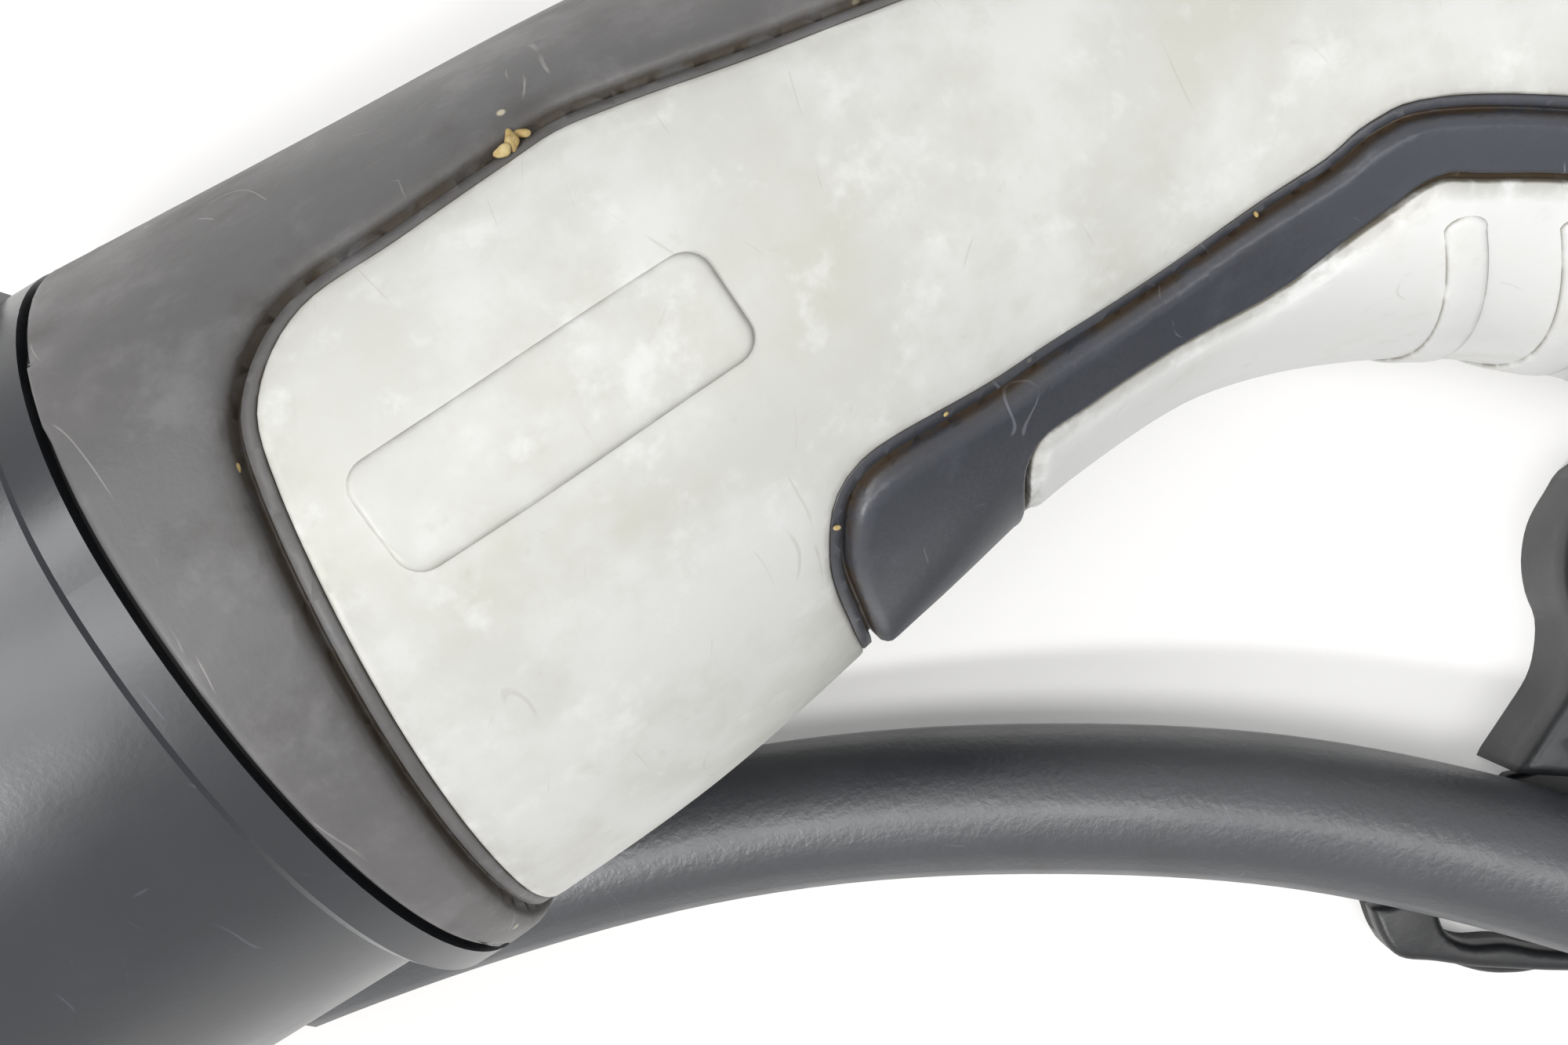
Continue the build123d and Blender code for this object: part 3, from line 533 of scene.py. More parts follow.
def trimmed(bm: Mesh, at: Point2, away: Point2, round_off: float = 0.0) -> None:
    """Cuts a closed sheet straight off and closes it again.

    Args:
        bm: the sheet in the flat pattern.
        at: a point on the cut.
        away: the direction of what falls off.
        round_off: size of the rounding along the upper edge of the cut.
    """
    wall = filled(bm, cut(bm, Vector((*at, 0.0)), Vector((*away, 0.0)), clear=True))
    if round_off:
        bmesh.ops.recalc_face_normals(bm, faces=bm.faces)
        inside = set(wall)
        upper = dict.fromkeys(
            e for f in wall for e in f.edges
            if any(g not in inside for g in e.link_faces) and min(v.co.z for v in e.verts) > WALL_FOOT
        )
        bmesh.ops.bevel(bm, geom=list(upper), offset=round_off, offset_type="OFFSET", segments=3,
                        profile=0.5, affect="EDGES", material=-1, clamp_overlap=False)


def laid_on_housing(bm: Mesh) -> None:
    """Bends a flat pattern onto the housing.

    Args:
        bm: the pattern's mesh.
    """
    for v in bm.verts:
        v.co = HOUSING.pattern_point(v.co)
    bmesh.ops.recalc_face_normals(bm, faces=bm.faces)


def joined(meshes: Sequence[Mesh]) -> Mesh:
    """Puts several meshes into one.

    Args:
        meshes: the meshes, which are used up.

    Returns:
        The one mesh.
    """
    out = bmesh.new()
    out.verts.layers.float.new("dirt")
    for bm in meshes:
        data = bpy.data.meshes.new("part")
        bm.to_mesh(data)
        bm.free()
        out.from_mesh(data)
        bpy.data.meshes.remove(data)
    return out


# ---- finishes
MATH = "ShaderNodeMath"
MAP_RANGE = "ShaderNodeMapRange"
PER_BLOTCH = 0.5  # scale of a noise whose blotches are one unit wide
SHEEN_PATCH = 4.0  # width of the patches of even roughness, mm
DIRT_PATCH = 1.2  # width of the breaks in the dirt, mm
PATCH_FADE = 0.2  # how far a patch takes to fade in, in levels of its noise
SPECK_RADIUS = 0.045  # as a share of the specks' spacing
SCRATCH_TURNS = (38.0, -22.0, 80.0)  # directions of the scratches, degrees
SCRATCH_WAVE, SCRATCH_WIDTH = 3.0, 0.004  # width of the blotches whose level lines they are, and their own
SCRATCH_FIELD = 2.2  # width of the patches that hold scratches, mm


def colour(code: str) -> tuple[float, float, float, float]:
    """An sRGB hex colour as linear light."""
    values = [int(code[i:i + 2], 16) / 255 for i in (1, 3, 5)]
    return (*(v / 12.92 if v <= 0.04045 else ((v + 0.055) / 1.055) ** 2.4 for v in values), 1.0)


def node(tree: Tree, kind: str, settings: Optional[dict[str, object]] = None,
         links: Optional[dict[object, Socket]] = None) -> bpy.types.Node:
    """Adds a shader node.

    Args:
        tree: the material's nodes.
        kind: the node's type.
        settings: its properties, or its inputs by name or number.
        links: the sockets that feed its inputs, by name or number.

    Returns:
        The node.
    """
    made = tree.nodes.new(kind)
    for key, value in (settings or {}).items():
        if isinstance(key, str) and hasattr(made, key):
            setattr(made, key, value)
        else:
            made.inputs[key].default_value = value
    for key, socket in (links or {}).items():
        tree.links.new(socket, made.inputs[key])
    return made


def ramp(tree: Tree, source: Socket, low: float, high: float) -> Socket:
    """A soft threshold: 0 below low, 1 above high."""
    limits = {"From Min": low, "From Max": high, "interpolation_type": "SMOOTHSTEP"}
    return node(tree, MAP_RANGE, limits, {"Value": source}).outputs["Result"]


def mixed(tree: Tree, share: Socket, under: object, over: object,
          most: float = 1.0) -> Socket:
    """Lays one colour over another.

    Args:
        tree: the material's nodes.
        share: where the upper colour shows.
        under: the lower colour, as a hex code or a socket.
        over: the upper colour, likewise.
        most: how much of it shows at most.

    Returns:
        The colour of both.
    """
    amount = node(tree, MATH, {"operation": "MULTIPLY", 1: most}, {0: share}).outputs[0]
    mix = node(tree, "ShaderNodeMix", {"data_type": "RGBA"}, {0: amount})
    for key, value in ((6, under), (7, over)):
        if isinstance(value, str):
            mix.inputs[key].default_value = colour(value)
        else:
            tree.links.new(value, mix.inputs[key])
    return mix.outputs[2]


def noise(tree: Tree, size: float, detail: float = 3.0, stretch: Point3 = (1, 1, 1),
          turn: float = 0.0, rough: float = 0.55) -> Socket:
    """Spreads noise over the object.

    Args:
        tree: the material's nodes.
        size: width of one blotch, mm.
        detail: octaves.
        stretch: factors along the axes, under 1 to draw the blotches out.
        turn: angle about Z in degrees, applied first.
        rough: roughness of the noise.

    Returns:
        The noise, from 0 to 1.
    """
    where = node(tree, "ShaderNodeTexCoord").outputs["Object"]
    mapping = node(tree, "ShaderNodeMapping", None, {"Vector": where})
    mapping.inputs["Rotation"].default_value = (0, 0, math.radians(turn))
    mapping.inputs["Scale"].default_value = stretch
    settings = {"Scale": PER_BLOTCH / (size * MM), "Detail": detail, "Roughness": rough}
    return node(tree, "ShaderNodeTexNoise", settings, {"Vector": mapping.outputs[0]}).outputs["Fac"]


def hairlines(tree: Tree, turn: float) -> Socket:
    """Draws fine scratches, about 0.1 mm wide so that they show: level lines of a drawn-out noise.

    Args:
        tree: the material's nodes.
        turn: their direction about Z, degrees.

    Returns:
        1 on the scratches and 0 beside them.
    """
    waves = noise(tree, SCRATCH_WAVE, 0.0, (1.0, 0.3, 1.0), turn)
    lines = node(tree, MATH, {"operation": "COMPARE", 1: 0.5, 2: SCRATCH_WIDTH}, {0: waves}).outputs[0]
    where = ramp(tree, noise(tree, SCRATCH_FIELD, 2.0, (1.0, 0.6, 1.0), turn + 30.0), 0.6, 0.68)
    return node(tree, MATH, {"operation": "MULTIPLY"}, {0: lines, 1: where}).outputs[0]


def specks(tree: Tree, spacing: float) -> Socket:
    """Scatters small round specks.

    Args:
        tree: the material's nodes.
        spacing: distance between them, mm.

    Returns:
        1 on the specks and 0 beside them.
    """
    where = node(tree, "ShaderNodeTexCoord").outputs["Object"]
    cells = node(tree, "ShaderNodeTexVoronoi", {"Scale": 1 / (spacing * MM), "Randomness": 1.0},
                 {"Vector": where})
    near = node(tree, MAP_RANGE, {"From Min": SPECK_RADIUS, "From Max": SPECK_RADIUS * 0.5},
                {"Value": cells.outputs["Distance"]}).outputs["Result"]
    pick = node(tree, "ShaderNodeSeparateColor", None, {"Color": cells.outputs["Color"]}).outputs[0]
    some = ramp(tree, pick, 0.55, 0.6)
    return node(tree, MATH, {"operation": "MULTIPLY"}, {0: near, 1: some}).outputs[0]


@dataclass(frozen=True)
class Patches:
    """Soft patches of another tone: colour, width in mm, strength and the noise level that they start at."""

    code: str
    width: float
    strength: float
    level: float = 0.45


@dataclass(frozen=True)
class Finish:
    """A moulded or worn surface.

    Attributes:
        name: the material's name.
        base: main colour.
        patches: layers of patches, from the lowest up.
        grain: width of the texture's grain in mm, and the height of its bump.
        rough: roughness, lowest and highest.
        dirt: colour of what collects along edges, and its strength.
        speck: colour of specks, spacing in mm and strength.
        scratch: colour of fine scratches and their strength.
        extra: what else the shader needs, by socket.
    """

    name: str
    base: str
    patches: tuple[Patches, ...]
    grain: tuple[float, float] = (0.3, 0.0)
    rough: tuple[float, float] = (0.4, 0.5)
    dirt: tuple[str, float] = ("#1c1610", 0.0)
    speck: tuple[str, float, float] = ("#ffffff", 3.0, 0.0)
    scratch: tuple[str, float] = ("#ffffff", 0.0)
    extra: tuple[tuple[str, float], ...] = ()

    def material(self) -> bpy.types.Material:
        """Builds the material once.

        Returns:
            The material, new or already made.
        """
        if self.name in bpy.data.materials:
            return bpy.data.materials[self.name]
        made = bpy.data.materials.new(self.name)
        made.use_nodes = True
        tree = made.node_tree
        shader = tree.nodes["Principled BSDF"]
        tree.links.new(self._tone(tree), shader.inputs["Base Color"])
        low, high = self.rough
        spread = node(tree, MAP_RANGE, {"From Min": 0.3, "From Max": 0.7, "To Min": low, "To Max": high},
                      {"Value": noise(tree, SHEEN_PATCH, 5.0)}).outputs["Result"]
        tree.links.new(spread, shader.inputs["Roughness"])
        grain, height = self.grain
        if height:
            bump = node(tree, "ShaderNodeBump", {"Strength": 1.0, "Distance": height * MM},
                        {"Height": noise(tree, grain, 3.0, rough=0.6)})
            tree.links.new(bump.outputs[0], shader.inputs["Normal"])
        for key, value in self.extra:
            shader.inputs[key].default_value = value
        return made

    def _tone(self, tree: Tree) -> Socket:
        """Lays patches, scratches, specks and dirt on the main colour.

        Args:
            tree: the material's nodes.

        Returns:
            The surface's colour.
        """
        tone: object = self.base
        for layer in self.patches:
            blotches = noise(tree, layer.width, 6.0, rough=0.62)
            cover = ramp(tree, blotches, layer.level, layer.level + PATCH_FADE)
            tone = mixed(tree, cover, tone, layer.code, layer.strength)
        code, strength = self.scratch
        if strength:
            for turn in SCRATCH_TURNS:
                tone = mixed(tree, hairlines(tree, turn), tone, code, strength)
        code, spacing, strength = self.speck
        if strength:
            tone = mixed(tree, specks(tree, spacing), tone, code, strength)
        code, strength = self.dirt
        if strength:
            held = node(tree, "ShaderNodeAttribute", {"attribute_name": "dirt"}).outputs["Fac"]
            patchy = ramp(tree, noise(tree, DIRT_PATCH, 5.0), 0.3, 0.55)
            amount = node(tree, MATH, {"operation": "MULTIPLY"}, {0: held, 1: patchy}).outputs[0]
            tone = mixed(tree, amount, tone, code, strength)
        return tone


def darkened(code: str, factor: float) -> str:
    """A hex colour made darker by a factor."""
    values = [round(int(code[i:i + 2], 16) * factor) for i in (1, 3, 5)]
    return "#" + "".join(f"{v:02x}" for v in values)


# Glass-filled polyamide, moulded in a polished tool: near black with a cold satin sheen and hardly any grain
SATIN_NOSE = Finish(
    "moulded_polyamide_satin", "#14171d",
    (Patches("#23272f", 14.0, 0.6), Patches("#17191e", 5.0, 0.5, 0.52)),
    (0.22, 0.006), (0.25, 0.33), ("#5a5146", 0.3), ("#a5a6a8", 11.0, 0.35), ("#5c606c", 0.3),
    (("Specular IOR Level", 0.75),),
)
# Polyamide moulded in a fine eroded tool: dark grey, matte, scuffed lighter by years of handling, with brown
# dust in its corners
WORN_HOUSING = Finish(
    "worn_polyamide_matte", "#595858",
    (Patches("#686666", 10.0, 0.75), Patches("#7a7979", 2.5, 0.4, 0.5), Patches("#3a3634", 4.0, 0.5, 0.52)),
    (0.32, 0.03), (0.44, 0.56), ("#41341f", 0.75), ("#d3c9ae", 7.0, 0.7), ("#a09d9a", 0.5),
)
# Pale ABS shells: light warm grey with chalky scuffs and faint greenish stains, as outdoor plastic gets
PALE_PANEL = Finish(
    "moulded_abs_pale", "#c9c9c3",
    (Patches("#d8d8d6", 9.0, 0.85, 0.42), Patches("#c0bfb2", 5.0, 0.5, 0.5),
     Patches("#e6e6e5", 1.8, 0.5, 0.54), Patches("#a9a596", 0.8, 0.3, 0.62)),
    (0.5, 0.01), (0.4, 0.5), ("#51442f", 0.5), ("#6b6152", 9.0, 0.6), ("#a8a498", 0.3),
)
# Soft-touch band: bluish dark grey, finely grained, with light rub marks
DARK_BAND = Finish(
    "textured_band_dark", "#383b42",
    (Patches("#42454d", 7.0, 0.6), Patches("#565a63", 2.0, 0.3, 0.55), Patches("#26282d", 3.5, 0.5, 0.52)),
    (0.25, 0.03), (0.34, 0.44), ("#4f3d22", 0.7), ("#b3aca0", 8.0, 0.5), ("#8b8e96", 0.4),
)
# Smooth ABS inlay: paler than the shells, with grey-beige grime along its rim. Its base is also lifted above
# its own tone as painted light: it stands in for the floor's bounce light on the shaded belly side
GREY_INLAY = Finish(
    "smooth_abs_inlay", "#e0e1df",
    (Patches("#ececec", 8.0, 0.7), Patches("#cfccc0", 4.0, 0.5, 0.52), Patches("#b8b4a6", 1.5, 0.3, 0.6)),
    (0.4, 0.006), (0.36, 0.46), ("#6e6755", 0.85), ("#77736c", 9.0, 0.5), ("#b4b1a8", 0.3),
)
# Seal rubber: deep matte black, no shine
SEAL_RUBBER = Finish("seal_rubber_black", "#0e0e0e", (Patches("#1a1a1a", 5.0, 0.5),), (0.3, 0.01), (0.6, 0.7))
# Plain moulded polyamide of the cable end: black, evenly matte
CAP_PLASTIC = Finish(
    "cap_polyamide_black", "#2c2b2a", (Patches("#3a3837", 8.0, 0.6), Patches("#1e1d1c", 3.0, 0.4, 0.52)),
    (0.32, 0.025), (0.46, 0.58), speck=("#8a857c", 8.0, 0.5), scratch=("#6b6866", 0.4),
)
# The insulator round the contacts: black polyamide, slightly glossy
CARRIER_PLASTIC = Finish("carrier_polyamide_black", "#17181a", (Patches("#232529", 8.0, 0.6),), (0.3, 0.012),
                         (0.42, 0.52))
# Polyurethane cable jacket: bluish black, finely stippled, with a soft light along its back
CABLE_JACKET = Finish(
    "cable_jacket_polyurethane", "#25282d",
    (Patches("#2d3036", 9.0, 0.6), Patches("#15171a", 3.0, 0.5, 0.52), Patches("#4a4c50", 0.8, 0.25, 0.58)),
    (0.34, 0.06), (0.36, 0.48), speck=("#8d887c", 10.0, 0.5), scratch=("#5a5d64", 0.35),
    extra=(("Specular IOR Level", 1.0),),
)
# Moulded rubber of the strap: black, greasy sheen, dusty in places
STRAP_RUBBER = Finish(
    "strap_rubber_black", "#191a1c", (Patches("#26282b", 6.0, 0.6), Patches("#47453f", 2.0, 0.3, 0.58)),
    (0.4, 0.03), (0.36, 0.48), speck=("#8b877e", 8.0, 0.5), scratch=("#606165", 0.35),
)
# Soft rubber of the bend sleeve: black and matte
SLEEVE_RUBBER = Finish("sleeve_rubber_black", "#1b1b1c", (Patches("#272729", 7.0, 0.6),), (0.35, 0.025),
                       (0.48, 0.58))
# Silver-plated brass contacts: warm pale metal, a little tarnished
CONTACT_METAL = Finish("silver_plated_brass", "#c9c4b8", (Patches("#a89f8c", 2.5, 0.6),), (0.2, 0.002),
                       (0.24, 0.36), extra=(("Metallic", 1.0),))
# Zinc-plated steel of screws and ferrules: cool grey metal, faintly streaked
SCREW_STEEL = Finish("zinc_plated_steel", "#a9abad", (Patches("#8b8d90", 1.5, 0.5),), (0.2, 0.003),
                     (0.3, 0.42), extra=(("Metallic", 1.0),))
# Dry leaf and grit: straw yellow, rough
DRY_CRUMB = Finish(
    "dry_leaf_crumb", "#a8905c", (Patches("#c9b98a", 0.4, 0.7), Patches("#6f5a33", 0.3, 0.6, 0.55)),
    (0.1, 0.03), (0.7, 0.8),
)
# Lacquered resistor: tan and glossy
RESISTOR_BODY = Finish("resistor_lacquer", "#b59a6a", (Patches("#a0855a", 2.0, 0.4),), (0.3, 0.004),
                       (0.3, 0.4))


class CoreColour(Enum):
    """Insulation colours of the conductors."""

    PE = "#5f9a2c"
    L1 = "#5b3220"
    N = "#2459a8"
    L2 = "#1b1b1b"
    L3 = "#8a8c8d"
    CP = "#a8281e"

    def finish(self) -> Finish:
        """The insulation's finish."""
        darker = darkened(self.value, 0.85)
        return Finish("core_insulation_" + self.name.lower(), self.value, (Patches(darker, 6.0, 0.5),),
                      (0.3, 0.006), (0.36, 0.46))


# ---- the outer mouldings
@dataclass(frozen=True)
class OuterMouldings:
    """The collar with its rail, the pale side shells, the grip band and the ribbed inlay.

    The dark mouldings reach the pale shells with a low ledge. A dirty groove parts the ledge from a rounded
    shoulder.
    """

    panel_drop: float = 0.8
    ledge: float = 0.95
    ledge_drop: float = 0.95
    groove: float = 0.45
    groove_drop: float = 1.7
    bottom: float = -2.6
    hair: float = 0.04  # between parts that touch
    front: float = 0.5  # the collar starts behind the seal
    over: float = 6.0  # how far patterns run on before they are trimmed
    pocket_out: float = 1.5  # the pocket's rim outside the inlay
    rib_margin: float = 8.0  # degrees that a rib keeps off the inlay's edge
    rib_cells: int = 24  # along each rib

    def dark_edge(self, shoulder: Sequence[Step]) -> tuple[Step, ...]:
        """Ledge and groove, followed by a shoulder."""
        return (
            Step(0.0, -self.ledge_drop - 0.08, 0.6), Step(0.12, -self.ledge_drop, 0.1),
            Step(self.ledge - 0.3, -self.ledge_drop, 0.1), Step(0.12, -self.ledge_drop - 0.25, 0.9),
            Step(0.1, -self.groove_drop, 1.0), Step(self.groove - 0.2, -self.groove_drop, 1.0), *shoulder,
        )

    def panel_line(self) -> list[Point2]:
        """Edge between collar, rail and left shell, from the belly to the end of the grip."""
        line = curve_through(placed(PANEL_EDGE))
        rail = curve_through([line[-1], *at_angle(RAIL_ANGLE, *RAIL_RUN)], 1.5)
        return line[:-1] + rail + straight(rail[-1], *at_angle(RAIL_ANGLE, HOUSING.length))[1:]

    def band_line(self) -> list[Point2]:
        """Upper edge of the band, from the belly to the end of the grip."""
        line = curve_through(placed(BAND_EDGE) + at_angle(BAND_ANGLE, *BAND_RUN))
        return line + straight(line[-1], *at_angle(BAND_ANGLE, HOUSING.length))[1:]

    def inlay_outline(self) -> list[Point2]:
        """The inlay's outline, round the belly from flank to flank."""
        points = placed(INLAY_EDGE) + at_angle(INLAY_ANGLE, *INLAY_RUN) + placed(INLAY_REAR)
        line = curve_through(points + at_angle(-90, points[-1][0] - 1.0), 0.9)
        return without_repeats(line + mirrored(line, below=True)[::-1])

    def build(self) -> None:
        """Makes all the mouldings."""
        self.housing()
        self.shell("side_shell_left_skin", "side_shell_left", False)
        self.shell("side_shell_right_skin", "side_shell_right", True)
        self.band()
        self.inlay()

    def housing(self) -> None:
        """Collar and rail: one worn black moulding, parted along the belly."""
        line = self.panel_line()
        below = HOUSING.flat(-90) - self.over
        line = run_on([(line[0][0], below)], line[0])[:-1] + line
        line = run_on(line, (HOUSING.length + self.over, line[-1][1]))
        other = mirrored(line)[::-1]
        outline = run_on(line, other[0])[:-1] + other
        outline = run_on(outline, (-self.over, outline[-1][1]), (-self.over, below), outline[0])[:-1]
        edge = self.dark_edge((
            Step(0.08, -0.75, 0.7), Step(0.1, -0.42, 0.2), Step(0.25, -0.17, 0.08), Step(0.4, -0.05, 0.04),
            Step(0.8, 0.0, 0.0), Step(1.2, 0.0, 0.0),
        ))
        bm = Skin(outline, edge, self.bottom).mesh()
        trimmed(bm, (0.0, HOUSING.flat(-90) + self.hair), (0, -1))
        trimmed(bm, (0.0, HOUSING.flat(270) - self.hair), (0, 1))
        trimmed(bm, (HOUSING.length - self.hair, 0.0), (1, 0))
        trimmed(bm, (self.front, 0.0), (-1, 0), 0.4)
        laid_on_housing(bm)
        finished_piece("collar_and_rail", bm, WORN_HOUSING.material(), ["front_housing"])

    def shell(self, name: str, cad_node: str, right: bool) -> None:
        """One pale side shell. The left one carries a bare raised field.

        Args:
            name: the piece's name.
            cad_node: the node that it stands for.
            right: True for the right flank.
        """
        upper = moved_sideways(self.panel_line(), self.hair)[1:-1]
        lower = moved_sideways(self.band_line(), -self.hair)[1:-1]
        end, belly = HOUSING.length - 0.2, HOUSING.flat(-90) + self.hair
        upper = [p for p in upper if p[0] < end and p[1] > belly]
        lower = [p for p in lower if p[0] < end and p[1] > belly]
        outline = run_on([(upper[0][0], belly), *upper, (end, upper[-1][1])], (end, lower[-1][1]))
        outline += [*lower[::-1], (lower[0][0], belly)]
        outline += straight(outline[-1], outline[0])[1:-1]
        top = -self.panel_drop
        edge = (
            Step(0.0, top - 0.3, 1.0), Step(0.06, top - 0.14, 0.8), Step(0.14, top - 0.03, 0.4),
            Step(0.4, top, 0.2), Step(1.4, top, 0.0),
        )
        meshes = [Skin(outline, edge, self.bottom).mesh()]
        if not right:
            meshes.append(self.field_skin().mesh())
        bm = joined(meshes)
        if right:
            bmesh.ops.scale(bm, vec=(1, -1, 1), verts=bm.verts)
            bmesh.ops.translate(bm, vec=(0, math.pi * Housing.pattern_radius, 0), verts=bm.verts)
        laid_on_housing(bm)
        finished_piece(name, bm, PALE_PANEL.material(), [cad_node])

    def field_skin(self) -> Skin:
        """Draws the bare raised field of the left shell, with soft corners.

        Returns:
            The field's sheet.
        """
        long, wide = FIELD_SIZE[0] / 2, FIELD_SIZE[1] / 2
        turn = math.radians(FIELD_SLOPE)
        points = []
        for cx, cy, first in ((1, 1, 0), (-1, 1, 90), (-1, -1, 180), (1, -1, 270)):
            for degrees in range(first, first + 91, 15):
                a = math.radians(degrees)
                x = cx * (long - FIELD_CORNER) + FIELD_CORNER * math.cos(a)
                y = cy * (wide - FIELD_CORNER) + FIELD_CORNER * math.sin(a)
                points.append((FIELD_AT[0] + x * math.cos(turn) - y * math.sin(turn),
                               FIELD_AT[1] + x * math.sin(turn) + y * math.cos(turn)))
        top = -self.panel_drop + 0.35
        edge = (
            Step(0.0, top - 0.32, 0.6), Step(0.12, top - 0.12, 0.35), Step(0.12, top - 0.03, 0.2),
            Step(0.2, top, 0.1), Step(0.5, top, 0.0),
        )
        return Skin(placed(points), edge, -self.panel_drop - 0.3)

    def band(self) -> None:
        """The dark band round the belly, with a wide shoulder and a pocket for the inlay."""
        line = moved_sideways(self.band_line(), -self.hair)[1:-1]
        line = run_on(line, (HOUSING.length + self.over, line[-1][1]))
        other = mirrored(line, below=True)[::-1]
        outline = run_on(line, other[0])[:-1] + other
        edge = self.dark_edge((
            Step(0.08, -1.0, 0.8), Step(0.1, -0.62, 0.3), Step(0.35, -0.22, 0.08), Step(0.35, -0.03, 0.0),
            Step(0.5, 0.0, 0.0),
        ))
        pocket = moved_sideways(self.inlay_outline(), -self.pocket_out)
        pocket_edge = (
            Step(0.35, 0.05, 0.0), Step(0.2, 0.03, 0.1), Step(0.2, -0.25, 0.6), Step(0.25, -1.0, 1.0),
            Step(0.6, -1.0, 1.0),
        )
        bm = Skin(outline, edge, self.bottom, pocket=pocket, pocket_edge=pocket_edge).mesh()
        trimmed(bm, (HOUSING.length - self.hair, 0.0), (1, 0))
        laid_on_housing(bm)
        finished_piece("grip_band_skin", bm, DARK_BAND.material(), ["grip_band"])

    def inlay(self) -> None:
        """The pale inlay, with a low rim round a crowned middle, and its ribs."""
        edge = (
            Step(0.0, -0.45, 1.0), Step(0.12, -0.3, 0.5), Step(0.7, -0.18, 0.35), Step(0.3, 0.02, 0.2),
            Step(0.35, 0.1, 0.03), Step(0.9, 0.12, 0.0),
        )
        skins = [Skin(self.inlay_outline(), edge, -1.4)]
        skins += [self.rib_skin(RIB_FIRST + i * RIB_PITCH) for i in range(RIBS)]
        bm = joined([skin.mesh() for skin in skins])
        laid_on_housing(bm)
        finished_piece("ribbed_inlay", bm, GREY_INLAY.material(), ["grip_inlay"])

    def rib_skin(self, x: float) -> Skin:
        """Draws one rib, which lies across the grip in a plane square to the nose axis.

        Args:
            x: the rib's front side along that axis.

        Returns:
            The rib's sheet.
        """
        def meets(at: float, angle: float) -> float:
            """Finds where a plane square to the nose axis cuts the surface.

            Args:
                at: the plane's place, mm.
                angle: the angle round the grip, degrees.

            Returns:
                The distance along the grip.
            """
            lo, hi = 20.0, HOUSING.length
            for _ in range(HOUSING.rounds):
                mid = (lo + hi) / 2
                if HOUSING.point(mid, math.radians(angle), 0.1).x < at:
                    lo = mid
                else:
                    hi = mid
            return lo

        top = INLAY_ANGLE - self.rib_margin
        angles = [top - k * (180 + 2 * top) / self.rib_cells for k in range(self.rib_cells + 1)]
        front = [(meets(x, a), HOUSING.flat(a)) for a in angles]
        rear = [(meets(x + RIB_WIDTH, a), HOUSING.flat(a)) for a in angles]
        half = RIB_WIDTH / 2
        caps = []
        for a, b, way in ((front[-1], rear[-1], -1), (rear[0], front[0], 1)):
            middle, reach = (a[0] + b[0]) / 2, (a[0] - b[0]) / 2
            turns = [math.radians(k) for k in range(20, 170, 20)]
            caps.append([(middle + reach * math.cos(k), a[1] + way * half * math.sin(k)) for k in turns])
        outline = front + caps[0] + rear[::-1] + caps[1]
        edge = (Step(0.0, 0.14, 1.0), Step(0.1, 0.33, 0.35), Step(0.15, 0.42, 0.1), Step(0.35, 0.46, 0.0))
        return Skin(outline, edge, -0.2, 1.6)


@dataclass(frozen=True)
class Crumbs:
    """Bits of grit and dry leaf that have caught in the grooves."""

    sites: tuple[tuple[Point2, float, float], ...] = (
        # side view place, height over the surface, size
        ((28.2, 9.7), -0.75, 0.42), ((28.9, 10.0), -0.7, 0.5), ((29.6, 10.2), -0.8, 0.34),
        ((8.1, 1.2), -0.75, 0.3), ((48.2, 8.0), -0.9, 0.25), ((41.9, -15.9), -0.75, 0.16),
        ((63.9, -15.4), -0.75, 0.16), ((33.1, -18.2), -0.75, 0.18),
    )
    dent: float = 0.1  # depth of the waves in a crumb's skin, as a share of its size
    shape: Point3 = (1.25, 0.8, 0.7)

    def build(self) -> None:
        """Makes them all, as one piece."""
        bm = bmesh.new()
        for i, (at, height, size) in enumerate(self.sites):
            s, t = HOUSING.place(*at)
            made = bmesh.ops.create_icosphere(bm, subdivisions=3, radius=size)["verts"]
            for v in made:
                x, y, z = v.co
                wave = math.sin(9.0 * x + 2.1 * i) + math.sin(8.0 * y + i) + math.sin(10.0 * z)
                v.co *= 1.0 + self.dent * wave
            bmesh.ops.scale(bm, vec=self.shape, verts=made)
            bmesh.ops.rotate(bm, cent=(0, 0, 0), matrix=Matrix.Rotation(1.3 * i, 3, "Z"), verts=made)
            bmesh.ops.translate(bm, vec=HOUSING.point(s, t / HOUSING.pattern_radius, height), verts=made)
        finished_piece("groove_crumbs", bm, DRY_CRUMB.material())


# ---- the strap
def round_over(height: float, radius: float, steps: int = 5) -> tuple[Step, ...]:
    """Rounds an edge over from an upright side to a flat top.

    Args:
        height: of the top.
        radius: of the rounding.
        steps: how many flats stand for it.

    Returns:
        The edge's steps.
    """
    angles = [math.radians(90.0 * k / steps) for k in range(steps + 1)]
    return tuple(
        Step(radius * (math.cos(before) - math.cos(a)), height - radius + radius * math.sin(a))
        for before, a in zip([0.0, *angles], angles)
    )


